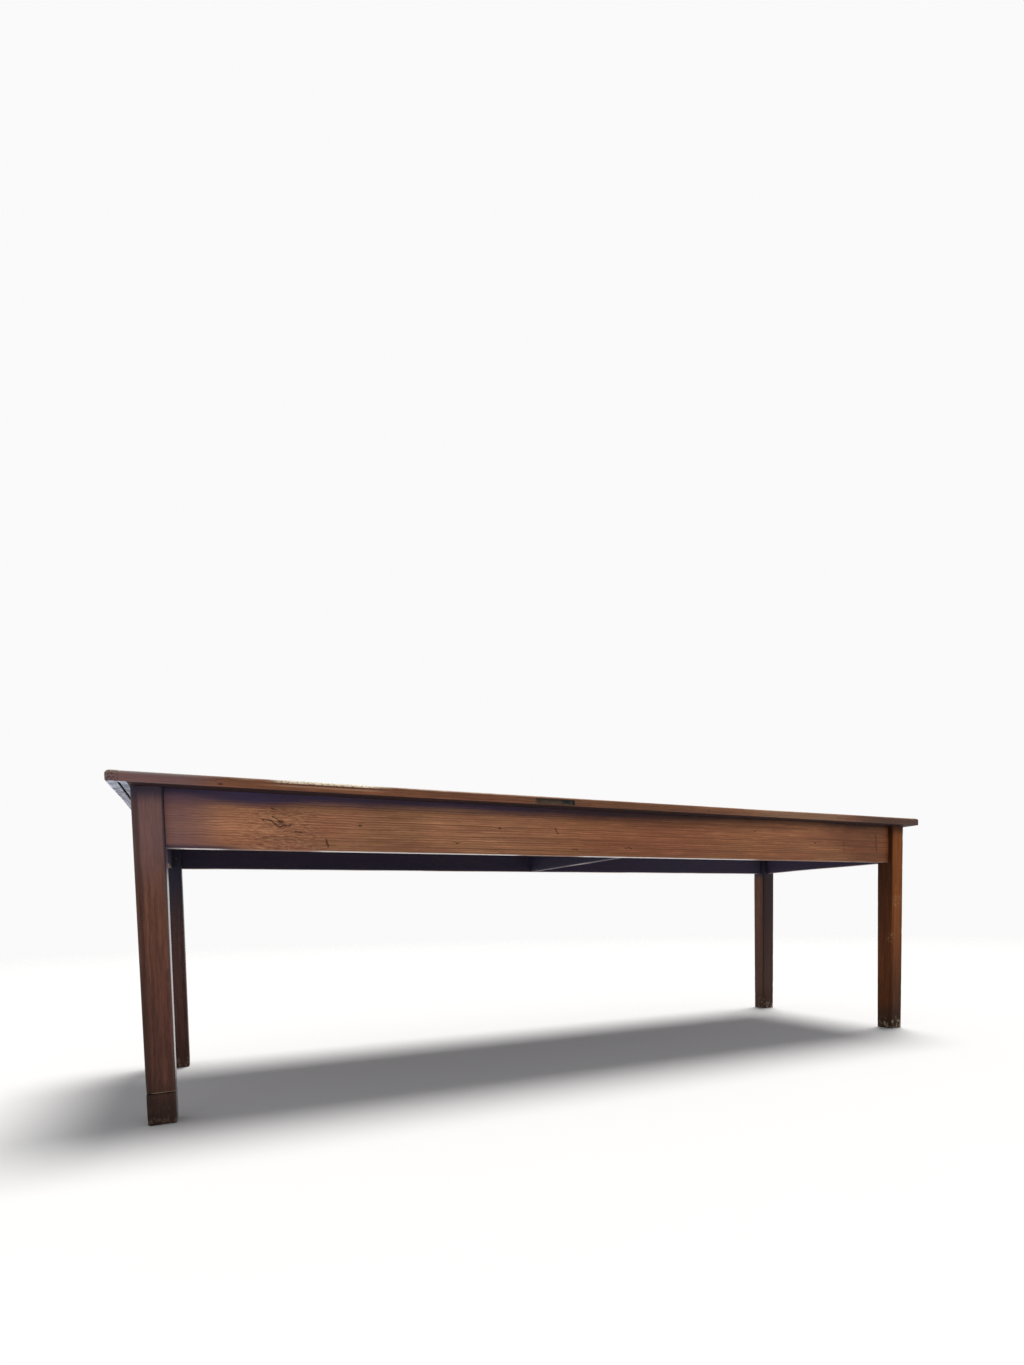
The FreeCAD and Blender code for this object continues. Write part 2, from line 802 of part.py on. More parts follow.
leg_blank = make_leg_blank()
front_left_pegs = make_corner_pegs()
front_right_pegs = mirror_image("front_right_pegs", front_left_pegs, ALONG)
back_left_pegs = mirror_image("back_left_pegs", front_left_pegs, ACROSS)
back_right_pegs = mirror_image("back_right_pegs", front_right_pegs, ACROSS)
apron_pegs = group("apron_pegs", [front_left_pegs, front_right_pegs, back_left_pegs, back_right_pegs])

whole_leg = boolean("Cut", "whole_leg", leg_blank, front_left_pegs)
foot_dowel = make_foot_dowel()
front_left_leg, front_left_foot = splice_foot(whole_leg, foot_dowel)
front_right_leg = mirror_image("front_right_leg", whole_leg, ALONG)
back_left_leg = mirror_image("back_left_leg", whole_leg, ACROSS)
back_right_leg = mirror_image("back_right_leg", front_right_leg, ACROSS)
nodes += [front_left_leg, front_left_foot, foot_dowel, front_right_leg, back_left_leg, back_right_leg]

front_apron = boolean("Cut", "front_apron", make_long_apron(), apron_pegs)
back_apron = mirror_image("back_apron", front_apron, ACROSS)
left_end_apron = boolean("Cut", "left_end_apron", make_end_apron(), apron_pegs)
right_end_apron = mirror_image("right_end_apron", left_end_apron, ALONG)
nodes += [front_apron, back_apron, left_end_apron, right_end_apron, make_cross_rail(), apron_pegs]

button_blanks, button_screws = make_buttons()
nodes += [boolean("Cut", "top_buttons", button_blanks, button_screws), button_screws]

both_ends_of_nails = with_far_side("left_nails", make_lipping_nails(), "right_nails", ALONG)
lipping_nails = group("lipping_nails", both_ends_of_nails)
edge_plate_screws = make_plate_screws()
edge_plate = boolean("Cut", "edge_plate", make_plate(), edge_plate_screws)
top_metalwork = group("top_metalwork", [lipping_nails, button_screws, edge_plate_screws, edge_plate])
for board in range(len(BOARD_WIDTH_SHARES)):
    nodes.append(boolean("Cut", f"top_board_{board + 1}", make_board(board), top_metalwork))
for board in range(len(BOARD_WIDTH_SHARES) - 1):
    nodes.append(make_tongue(board))
left_end_lipping = boolean("Cut", "left_end_lipping", make_lipping(), lipping_nails)
right_end_lipping = mirror_image("right_end_lipping", left_end_lipping, ALONG)
nodes += [left_end_lipping, right_end_lipping, lipping_nails, edge_plate, edge_plate_screws]

# Check every object, then write each sub-part to its own file

document.recompute()
for item in document.Objects:
    if "Invalid" in item.State or "Error" in item.State:
        raise RuntimeError(f"{item.Label} did not build: {item.State}")

os.makedirs("parts", exist_ok=True)
for node in nodes:
    if node.Shape.isNull() or not node.Shape.isValid():
        raise RuntimeError(f"{node.Label} has no valid shape")
    node.Shape.exportStep(f"parts/{node.Label}.step")
    print(f"{node.Label}: {len(node.Shape.Solids)} solids, {node.Shape.Volume / 1000:.1f} cm3")
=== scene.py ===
import functools
import math

import bmesh
import bpy
from mathutils import Matrix, Vector, noise


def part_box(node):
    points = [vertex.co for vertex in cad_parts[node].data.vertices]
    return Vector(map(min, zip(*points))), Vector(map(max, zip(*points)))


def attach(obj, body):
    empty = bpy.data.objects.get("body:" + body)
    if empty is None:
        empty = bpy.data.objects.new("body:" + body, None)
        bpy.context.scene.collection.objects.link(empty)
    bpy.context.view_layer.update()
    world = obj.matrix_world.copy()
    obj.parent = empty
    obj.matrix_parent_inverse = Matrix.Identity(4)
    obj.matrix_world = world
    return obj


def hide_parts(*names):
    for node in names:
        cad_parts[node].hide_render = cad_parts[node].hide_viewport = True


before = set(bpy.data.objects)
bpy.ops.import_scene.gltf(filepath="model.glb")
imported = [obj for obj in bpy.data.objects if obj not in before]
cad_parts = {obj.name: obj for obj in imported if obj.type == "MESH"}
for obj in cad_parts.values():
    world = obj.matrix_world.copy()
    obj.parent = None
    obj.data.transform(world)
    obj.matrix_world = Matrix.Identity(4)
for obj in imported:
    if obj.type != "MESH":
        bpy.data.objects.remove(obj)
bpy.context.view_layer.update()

# The looks of an old farmhouse dining table: worn timber, old wax, brass and iron.
# Lengths are metres. X runs along the table, Y from its front to its back, Z up.

MM = 0.001


def span(node, axis):
    """The lowest and the highest place of a CAD node on one axis."""
    return [round(getattr(corner, axis), 5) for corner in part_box(node)]


# Sizes of the table, as the frame has them
BOARD_END, TOP_END = span("right_end_lipping", "x")
TOP_EDGE = span("right_end_lipping", "y")[1]
TOP_UNDER, TOP_FACE = span("right_end_lipping", "z")
BOARD_EDGES = [span(f"top_board_{number}", "y")[0] for number in (1, 2, 3, 4)] + [TOP_EDGE]
TONGUE = tuple(span("board_tongue_1", "z"))
SHOULDER_X, LEG_X = span("back_right_leg", "x")
SHOULDER_Y, LEG_Y = span("back_right_leg", "y")
LEG_WIDTH, LEG_DEPTH = LEG_X - SHOULDER_X, LEG_Y - SHOULDER_Y
APRON_LOW = span("back_apron", "z")[0]
APRON_BACK_Y, APRON_FACE_Y = span("back_apron", "y")
APRON_BACK_X, APRON_FACE_X = span("right_end_apron", "x")
RAIL_X = round(sum(span("cross_rail", "x")) / 2, 5)
SPLICE = span("front_left_foot", "z")[1]
PLATE_X, PLATE_Z = span("edge_plate", "x"), span("edge_plate", "z")

# The joinery cut into the worn pieces, as the CAD has it
TENON = (APRON_LOW + 12 * MM, TOP_UNDER - 30 * MM)
SLOT = (TOP_UNDER - 20 * MM, TOP_UNDER - 12 * MM)
SLOT_REACH = 23 * MM  # half the length of a button's slot
GROOVE_STOP = 16 * MM  # solid wood at each end of a groove or tongue
APRON_THICK = 25 * MM
RAIL_HALF = APRON_THICK / 2
RAIL_TENON = (-4 * MM, 4 * MM)
TENON_SPAN = (8.5 * MM, 16.5 * MM)  # from the outer face of the apron
MORTISE_SPAN = (23.5 * MM, 31.5 * MM)  # from the outer face of the leg
CELL = 9 * MM  # usual length of a face on a worn surface


# Shader tools

class Socket:
    """An output of a node. Sums written on it add the nodes that work them out."""

    def __init__(self, finish, link):
        self.finish, self.link = finish, link

    def __add__(self, other):
        return self.finish.maths("ADD", self, other)

    def __sub__(self, other):
        return self.finish.maths("SUBTRACT", self, other)

    def __rsub__(self, other):
        return self.finish.maths("SUBTRACT", other, self)

    def __mul__(self, other):
        return self.finish.maths("MULTIPLY", self, other)

    def __truediv__(self, other):
        return self.finish.maths("DIVIDE", self, other)

    __radd__, __rmul__ = __add__, __mul__


class Finish:
    """The nodes of one material, or of the world, and the few ways in which they are made.

    colour, rough and height are the surface as it stands. Each coat is laid over that colour.
    """

    colour = rough = height = None

    def __init__(self, owner):
        self.owner = owner
        owner.use_nodes = True
        self.tree = owner.node_tree
        self.tree.nodes.clear()

    def node(self, kind, settings=None, sockets=None, output=0):
        """Add a node: its type, its settings, then the values or links of its sockets.

        output picks one of its outputs, and None gives them all.
        """
        made = self.tree.nodes.new(kind)
        for name, value in (settings or {}).items():
            if name == "stops":
                stops = made.color_ramp.elements
                for index, (where, colour) in enumerate(value):
                    stop = stops[index] if index < 2 else stops.new(where)
                    stop.position, stop.color = where, (*colour, 1)
            else:
                setattr(made, name, value)
        for name, value in (sockets or {}).items():
            if isinstance(value, Socket):
                self.tree.links.new(value.link, made.inputs[name])
            else:
                made.inputs[name].default_value = value
        if output is None:
            return [Socket(self, link) for link in made.outputs]
        return Socket(self, made.outputs[output])

    def maths(self, operation, *values):
        return self.node("ShaderNodeMath", {"operation": operation}, dict(enumerate(values)))

    def most(self, *values):
        """The highest of several values."""
        return functools.reduce(functools.partial(self.maths, "MAXIMUM"), values)

    def size(self, value):
        return self.maths("ABSOLUTE", value)

    def vector(self, operation, first, second=(0, 0, 0), output=0):
        return self.node("ShaderNodeVectorMath", {"operation": operation}, {0: first, 1: second}, output)

    def length(self, vector):
        return self.vector("LENGTH", vector, output="Value")

    def distance(self, first, second):
        return self.vector("DISTANCE", first, second, output="Value")

    def scaled(self, vector, amount):
        return self.node("ShaderNodeVectorMath", {"operation": "SCALE"}, {0: vector, "Scale": amount})

    def noise(self, place, stretch, detail=2.0, roughness=0.5, output=0):
        """Cloudy noise between 0 and 1. stretch is the number of clouds in a metre, each way."""
        return self.node("ShaderNodeTexNoise", None, {
            "Vector": self.vector("MULTIPLY", place, stretch),
            "Scale": 1.0, "Detail": detail, "Roughness": roughness,
        }, output)

    def sway(self, place, stretch, detail, amount, roughness=0.5):
        """A vector that wanders each way by up to half the amount."""
        loose = self.noise(place, stretch, detail, roughness, output="Color")
        return self.scaled(self.vector("SUBTRACT", loose, (0.5, 0.5, 0.5)), amount)

    def rise(self, value, low, high, bottom=0.0, top=1.0):
        """Goes smoothly from bottom to top while the value goes from low to high."""
        return self.node("ShaderNodeMapRange", {"interpolation_type": "SMOOTHSTEP"}, {
            "Value": value, "From Min": low, "From Max": high, "To Min": bottom, "To Max": top,
        })

    def blend(self, mask, first, second):
        """One colour where the mask is 0 and another where it is 1."""
        first, second = [c if isinstance(c, Socket) else (*c, 1) for c in (first, second)]
        return self.node(
            "ShaderNodeMix", {"data_type": "RGBA"}, {0: mask, 6: first, 7: second}, output=2,
        )

    def coat(self, mask, colour):
        """Lay a colour over the surface where the mask is 1."""
        self.colour = self.blend(mask, self.colour, colour)

    def shade(self, amount):
        """Make the surface darker or lighter."""
        self.colour = self.scaled(self.colour, amount)

    def stroke(self, place, start, end, width):
        """A mask round the straight line from start to end."""
        start, end = Vector(start), Vector(end)
        along = end - start
        out = self.vector("SUBTRACT", place, tuple(start))
        share = self.vector("DOT_PRODUCT", out, tuple(along / along.length_squared), output="Value")
        share = self.node("ShaderNodeClamp", None, {0: share})
        away = self.length(self.vector("SUBTRACT", out, self.scaled(tuple(along), share)))
        return self.rise(away, width, 0.25 * width)

    def shader(self, depth=MM, **constants):
        """Close the material: what varies goes in as sockets, the rest as plain numbers."""
        sockets = {name.replace("_", " "): value for name, value in constants.items()}
        surface = self.node("ShaderNodeBsdfPrincipled", None, {
            "Base Color": self.colour, "Roughness": self.rough,
            "Normal": self.node("ShaderNodeBump", None, {"Height": self.height, "Distance": depth}),
            **sockets,
        })
        self.node("ShaderNodeOutputMaterial", None, {"Surface": surface}, output=None)
        return self.owner


class Surface(Finish):
    """The material of a piece. here is the place on the piece, and x, y and z are its three numbers."""

    def __init__(self, name):
        super().__init__(bpy.data.materials.new(name))
        self.here = self.node("ShaderNodeTexCoord", output="Object")
        self.x, self.y, self.z = self.node("ShaderNodeSeparateXYZ", None, {0: self.here}, output=None)


# Timber finishes

GRAIN_TURNS = {
    "x": (0, 0, 0),
    "y": (0, 0, -math.pi / 2),
    "z": (0, math.pi / 2, 0),
}
# How dark a yearly ring is: place in the ring and strength
RING_STOPS = [(place, (dark, dark, dark)) for place, dark in (
    (0.0, 0.1), (1.0, 0.1), (0.45, 0.22), (0.78, 0.72), (0.9, 1.0), (0.97, 0.8),
)]


class Timber(Surface):
    """Sawn wood: yearly rings round a pith that wanders along the grain, fibres, pores and knots.

    grain is the place on the piece, turned so that the fibres run along X.
    figured is the span of X over which wavy grain grows calm.
    """

    def __init__(self, node, runs, pith, seed, ring=3 * MM, wander=20 * MM, waves=0.3,
                 figured=None, knots=0.0, eyes=()):
        super().__init__(node.replace("end_", "") + "_wood")
        self.grain = self.node("ShaderNodeMapping", None, {
            "Vector": self.here, "Rotation": GRAIN_TURNS[runs],
            "Location": (seed * 1.7, -pith[0], -pith[1]),
        })
        wavy = waves * wander
        if figured:
            broken = self.x + 0.1 * self.noise(self.here, (9, 9, 9))
            wavy = self.rise(broken, *figured, bottom=9 * MM, top=wavy)
        self.rippled = self.vector("ADD", self.grain, self.sway(self.grain, (16, 34, 34), 2.0, wavy))
        drift = self.sway(self.grain, (0.9, 2.5, 2.5), 1.0, wander * 2)
        bent = self.vector("ADD", self.rippled, drift)
        self.streak = self.noise(self.rippled, (2.0, 90, 90), 3.0, 0.6)
        radius = self.length(self.vector("MULTIPLY", bent, (0, 1, 1)))
        self.dark_knots = []
        for eye in eyes:
            radius = self._eye(radius, *eye)
        if knots:
            radius = self._knots(radius, knots)
        rings = radius / ring
        strength = self.node(
            "ShaderNodeTexWhiteNoise", {"noise_dimensions": "1D"}, {"W": self.maths("FLOOR", rings)},
        )
        late = self.node("ShaderNodeValToRGB", {"stops": RING_STOPS}, {0: self.maths("FRACT", rings)})
        self.late = late * (0.3 + 0.7 * strength)
        self.fibre = self.noise(self.rippled, (7, 420, 420), 2.0, 0.6)
        self.flame = self.noise(self.rippled, (11, 200, 200), 2.0, 0.6)
        self.cloud = self.noise(self.grain, (2.4, 9, 9), 3.0, 0.6)
        self.pore = self.rise(self.noise(self.grain, (45, 900, 900), 1.0), 0.6, 0.72)

    def _knots(self, radius, spacing):
        """Knots on a loose grid of cells; the rings swell round each and the knot itself is dark."""
        flat = self.vector("MULTIPLY", self.rippled, (1 / spacing, 5.5, 5.5))
        cell = self.node("ShaderNodeTexVoronoi", None, {"Vector": flat, "Scale": 1.0, "Randomness": 1.0})
        swell = self.rise(cell, 0.3, 0.0)
        self.dark_knots.append(self.rise(cell, 0.062, 0.03))
        return radius + swell * swell * 17 * MM

    def _eye(self, radius, place, size):
        """One knot at a place on the piece, twice as long as it is high."""
        moved = self.vector("ADD", self.here, self.vector("SUBTRACT", self.rippled, self.grain))
        out = self.vector("SUBTRACT", moved, place)
        away = self.length(self.vector("MULTIPLY", out, (0.5 / size, 0, 1 / size)))
        away = away + 1.6 * self.streak - 0.8
        swell = self.rise(away, 5.0, 0.0)
        self.dark_knots.append(self.rise(away, 1.0, 0.3))
        return radius + swell * swell * size * 1.1

    def near_arris(self, reach, **spans):
        """1 on the long arrises of a box and 0 further from them than reach."""
        gaps = [(high - low) / 2 - self.size(getattr(self, axis) - (high + low) / 2)
                for axis, (low, high) in spans.items()]
        return self.rise(self.most(*gaps) + self.cloud * reach * 1.2, reach * 1.5, reach * 0.5)

    def body(self, early, late, red, tone=1.0, hue=(1, 1, 1), ringing=0.85, dashes=0.45, streaks=1.0):
        """The wood before anything has happened to it: its colour, and its height in millimetres."""
        early, late, red = [[c * tone * h for c, h in zip(wood, hue)] for wood in (early, late, red)]
        warm = self.rise(self.cloud, 0.35, 0.7)
        ringed = self.blend(self.late * ringing, self.blend(warm, early, red), late)
        self.colour = self.blend(self.rise(self.flame, 0.53, 0.66) * dashes, ringed, late)
        glint = self.rise(self.flame, 0.46, 0.34)
        light = 0.86 - 0.5 * streaks + streaks * self.streak + 0.35 * self.fibre + 0.3 * glint
        self.shade(light * (1.0 - 0.55 * self.pore * 0.5))
        if self.dark_knots:
            self.coat(self.most(*self.dark_knots) * 0.8, [c * 0.3 for c in late])
        # soft earlywood is worn down between hard rings, and the pores are open
        self.height = 0.16 * self.late + 0.22 * self.fibre + 0.1 * self.streak - 0.18 * self.pore


def apron_timber(node, runs, pith, seed, outer, tone=1.0, marks=None, rubbed_under=0.95, rubbed_runs=(),
                 soots=((0.026, 0.016, 0.018), (0.022, 0.01, 0.007)), dashes=0.32, streaks=0.75, **grain):
    """Orange-brown polished faces, with an inner side painted dark and bluish as shade. outer is (axis, face,
    back).
    """
    wood = Timber(node, runs, pith, seed, **grain)
    rise, blend, coat, shade = wood.rise, wood.blend, wood.coat, wood.shade
    x, z, uneven = wood.x, wood.z, wood.cloud
    wood.body((0.43, 0.205, 0.098), (0.15, 0.058, 0.028), (0.355, 0.142, 0.078), tone,
              ringing=1.0, dashes=dashes, streaks=streaks)
    wood.rough = 0.36 + 0.16 * uneven + 0.1 * wood.pore
    axis, face, back = outer
    # darker upwards as painted shade of the overhanging top, then right under the top a band of painted shade
    # with some soot and old wax, and a rubbed lower arris
    shade(rise(z + 0.03 * uneven, 0.64, 0.69, bottom=0.9, top=1.14))
    up = z - rise(x, -0.2, 0.8, top=12 * MM) + rise(x, -0.8, -1.05, top=9 * MM)
    shade(rise(up + 0.03 * uneven, 0.705, 0.765, bottom=1.0, top=0.62))
    grime = rise(up + 0.014 * wood.streak + 0.02 * uneven, 0.738, 0.768)
    coat(grime * 0.95, blend(rise(x, -1.1, 0.9), *soots))
    rubbed = wood.near_arris(4 * MM, **{axis: sorted((face, back)), "z": (APRON_LOW, 0.9)})
    coat(rubbed * 0.5, (0.46, 0.24, 0.13))
    if marks:
        marks(wood)
    # the inner face is painted dark and bluish: painted shade inside the frame
    inside = rise(getattr(wood, axis), face + (back - face) * 0.8, face + (back - face) * 0.96)
    bluish = blend(rise(x, -0.6, 0.9), (0.024, 0.022, 0.05), (0.05, 0.045, 0.09))
    coat(inside, blend(0.8, wood.scaled(wood.colour, 0.2), bluish))
    # the lower edge is polished glossy by hands and knees, in places, and there painted pale as a reflection
    under = rise(z, APRON_LOW + 1.6 * MM, APRON_LOW + 0.5 * MM)
    patchy = rise(wood.noise(wood.here, (4, 4, 4), 1.0), 0.38, 0.62, bottom=0.35)
    if rubbed_runs:
        patchy = 0.22 + 0.78 * wood.most(0.0, *[
            rise(wood.size(x - (start + end) / 2 + 0.03 * uneven),
                 (end - start) / 2 + 0.03, (end - start) / 2 - 0.02)
            for start, end in rubbed_runs
        ])
    shine = patchy * rubbed_under
    coat(under * shine, (0.66, 0.58, 0.55))
    wood.rough = (wood.rough + 0.25 * inside) * (1 - under) + (0.85 - 0.68 * shine) * under
    return wood.shader(Specular_IOR_Level=0.16)


# Knots in the face of the front apron: x, z and half height in millimetres
FRONT_EYES = (
    (-0.945, 0.69, 7), (-0.757, 0.688, 4), (-0.376, 0.694, 4),
    (-0.5, 0.65, 3), (0.541, 0.716, 3.5), (0.815, 0.684, 4),
)
# Scratches in it: from x and z, to x and z, and width in millimetres
FRONT_SCRATCHES = (
    (-0.971, 0.694, -0.95, 0.68, 2.8), (-0.95, 0.68, -0.922, 0.684, 2.4),
    (-0.985, 0.692, -0.966, 0.693, 2.0), (-0.962, 0.7, -0.941, 0.69, 1.8),
    (-0.966, 0.722, -0.953, 0.719, 2.0), (-0.912, 0.668, -0.897, 0.664, 2.0),
    (-0.839, 0.651, -0.837, 0.634, 3.0), (-0.205, 0.7, -0.196, 0.686, 2.2),
    (-0.15, 0.642, -0.132, 0.64, 2.2), (0.955, 0.69, 0.96, 0.66, 2.4),
    (0.03, 0.65, 0.055, 0.649, 2.2),
)


def front_marks(wood):
    """Old polish, long grain, scratches and knocks on the face of the front apron, and painted haze,
    highlights and shade at its left end.
    """
    rise, coat, size = wood.rise, wood.coat, wood.size
    x, z, uneven = wood.x, wood.z, wood.cloud
    shaken = wood.vector("ADD", wood.here, wood.sway(wood.here, (75, 75, 75), 4.0, 16 * MM, 0.7))
    flat = wood.vector("MULTIPLY", shaken, (1, 0, 1))
    scratches = wood.most(*[
        wood.stroke(flat, (x0, 0, z0), (x1, 0, z1), width * MM) for x0, z0, x1, z1, width in FRONT_SCRATCHES
    ])
    # the left end is redder, the right half deeper, the right end browner with old polish
    below = rise(z + 0.01 * uneven, 0.758, 0.738)
    coat(rise(x + 0.1 * uneven, -0.98, -1.12, top=0.35) * below, (0.255, 0.12, 0.095))
    for spread, low, high, tint in (
        (0.1, -0.35, 0.02, (0.87, 0.8, 0.7)), (0.12, 0.88, 1.14, (0.62, 0.52, 0.42)),
    ):
        coat(rise(x + spread * uneven, low, high), wood.vector("MULTIPLY", wood.colour, tint))
    # a paler stretch beside the left leg and a darker one past the big knot
    paler = rise(size(x + 1.03) + 0.06 * uneven, 0.14, 0.05)
    darker = rise(size(x + 0.665) + 0.06 * uneven, 0.15, 0.06)
    wood.shade(1.0 + 0.22 * paler - 0.18 * darker)
    # long straight lines of dark grain
    lines = rise(wood.noise(wood.rippled, (1.6, 250, 250), 1.0, 0.4), 0.44, 0.36)
    lines = lines * rise(x + 0.1 * uneven, -0.95, -0.6, bottom=0.4)
    coat(lines * 0.42, (0.105, 0.04, 0.022))
    # bruised grain round the big knot: dark nicks, and pale flecks painted as highlights
    bruised = rise(size(x + 0.945) + 0.06 * uneven, 0.16, 0.08) * rise(z + 0.02 * uneven, 0.742, 0.722)
    nicks = wood.noise(wood.rippled, (64, 360, 360), 2.0, 0.6)
    coat(bruised * rise(nicks, 0.54, 0.63) * 0.42, (0.62, 0.36, 0.17))
    coat(bruised * rise(nicks, 0.45, 0.38) * 0.45, (0.1, 0.042, 0.025))
    # a painted mauve haze of light by the left leg, and painted shade along the lower edge there
    coat(rise(x + 0.05 * uneven, -1.03, -1.14) * below * 0.45, (0.165, 0.09, 0.125))
    hem = rise(z + 0.008 * uneven, APRON_LOW + 18 * MM, APRON_LOW + 5 * MM)
    coat(hem * rise(x + 0.05 * uneven, -0.96, -1.06) * 0.85, (0.03, 0.02, 0.044))
    coat(scratches * 0.8, (0.03, 0.013, 0.01))
    burn = wood.stroke(flat, (1.12, 0, 0.722), (1.128, 0, 0.664), 8 * MM)
    coat(burn * 0.5, (0.05, 0.01, 0.009))
    wood.rough = wood.rough + 0.2 * scratches
    wood.height = wood.height - 0.6 * scratches


def leg_timber(
    node, pith, seed, sides, tone=1.0, hue=(1, 1, 1), bright=0.0, splice=0.0, smoke=(0.032, 0.022, 0.027),
    smoked=(0.8, 0.8), smoke_from=0.2, strip=8 * MM, pale_top=0.0, soil=0.75, specks=(),
    chips=(0.22, 0.15, 0.1), hood=None, polish=0.0, arris=0.62, gloss=0.16,
):
    """Reddish-brown legs that darken to the foot. sides says which corner the leg stands at."""
    wood = Timber(node, "z", pith, seed, ring=3.4 * MM, wander=12 * MM)
    rise, coat, size, here = wood.rise, wood.coat, wood.size, wood.here
    x, y, z, uneven = wood.x, wood.y, wood.z, wood.cloud
    wood.body((0.215, 0.076, 0.041), (0.08, 0.027, 0.016), (0.18, 0.057, 0.035), tone, hue)
    wood.rough = 0.38 + 0.16 * uneven + 0.1 * wood.pore
    wood.shade(rise(z + 0.08 * uneven, 0.03, 0.7, bottom=0.58, top=1.0))
    # painted light: a pale pinkish haze over the upper leg
    if pale_top:
        coat(rise(z + 0.05 * uneven, 0.5, 0.68) * pale_top, (0.21, 0.13, 0.135))
    # painted light on the front face: darker low down and lit orange higher up
    if bright:
        face = rise(y, -0.334, -0.341)
        wood.shade(1.0 - 0.38 * face * rise(z, 0.34, 0.12))
        glow = rise(z + 0.06 * uneven, 0.08, 0.55) * face
        lines = rise(wood.noise(wood.rippled, (4, 260, 260), 2.0, 0.6), 0.56, 0.66)
        shine = wood.scaled((0.255, 0.079, 0.017), (0.06 + 1.7 * wood.streak) * (1 - 0.55 * lines))
        shine = wood.scaled(shine, rise(z + 0.1 * uneven, 0.12, 0.48, bottom=0.4))
        coat(glow * bright, shine)
    # painted shade lies dark along the rounded arrises, most of all on the outer corner
    dark = wood.near_arris(8 * MM, x=sorted((sides[0] * LEG_X, sides[0] * SHOULDER_X)),
                           y=sorted((sides[1] * LEG_Y, sides[1] * SHOULDER_Y)))
    outer = rise(size(x), LEG_X - strip - 3 * MM, LEG_X - strip + 3 * MM)
    coat(wood.most(dark * arris, outer * 0.72), wood.scaled(wood.colour, 0.3))
    # the inner faces are painted dark towards the frame, as shade
    slim = rise(z, 0.0, APRON_LOW, bottom=4 * MM, top=0.0)
    beside = rise(size(x) - slim, SHOULDER_X + 5 * MM, SHOULDER_X + 2 * MM)
    behind = rise(size(y) - slim, SHOULDER_Y + 6 * MM, SHOULDER_Y + 2 * MM)
    inner = wood.most(beside * smoked[0], behind * smoked[1])
    coat(inner * rise(z + 0.05 * uneven, smoke_from, 0.64), smoke)
    if splice:
        # filler and bare wood show along the joint of the new foot, whose wood is darker and patchy
        gone = rise(wood.noise(here, (60, 60, 10), 2.0), 0.3, 0.42) * rise(x, -1.247, -1.24)
        line = rise(size(z - splice - 1.2 * MM), 1.6 * MM, 0.7 * MM) * gone
        crack = rise(size(z - splice + 2.0 * MM), 2.4 * MM, 1.0 * MM)
        coat(crack * 0.7, (0.02, 0.012, 0.01))
        coat(line * 0.9, (0.52, 0.33, 0.2))
        worn = rise(wood.noise(here, (42, 42, 42), 2.0), 0.52, 0.66) * rise(z, splice, splice - 5 * MM)
        coat(worn * 0.45, (0.115, 0.055, 0.034))
    # pale specks round given places; on the front right leg the upper one is a painted glint
    for place in specks:
        close = rise(wood.distance(here, place), 34 * MM, 10 * MM)
        grit = rise(wood.noise(here, (240, 240, 170), 3.0, 0.7), 0.55, 0.62)
        coat(close * grit * 0.8, (0.46, 0.31, 0.16))
    # painted shade high on the inner faces
    if hood:
        high_up = rise(z + 0.02 * uneven, *hood)
        coat(wood.most(beside, behind) * high_up * 0.92, (0.026, 0.024, 0.044))
    # painted shade under the top, scuffs and floor dirt at the foot
    coat(rise(z + 0.02 * uneven, 0.722, 0.758) * 0.9, smoke)
    soiled = rise(z + 0.05 * uneven, 0.145, 0.055)
    coat(soiled * soil, (0.036, 0.023, 0.018))
    scuffed = rise(wood.noise(here, (105, 105, 60), 3.0, 0.65), 0.52, 0.6)
    scuffed = scuffed * rise(z + 0.05 * uneven, 0.08, 0.03)
    coat(scuffed * 0.8, chips)
    wood.rough = wood.rough + 0.25 * soiled
    wood.height = wood.height - 0.5 * scuffed
    # knees have polished the inner face below the apron
    glossy = beside * rise(z + 0.03 * uneven, 0.6, 0.54) * polish
    return wood.shader(Specular_IOR_Level=gloss, Coat_Weight=glossy, Coat_Roughness=0.15)


# Rings left by cups and a pot: place, radius in millimetres and strength
CUP_RINGS = (
    ((-0.62, -0.14), 46, 0.78), ((-0.57, -0.07), 46, 0.5), ((0.34, 0.12), 52, 0.7),
    ((0.91, -0.19), 41, 0.66), ((0.05, -0.24), 110, 0.45), ((-1.0, 0.21), 44, 0.7),
)


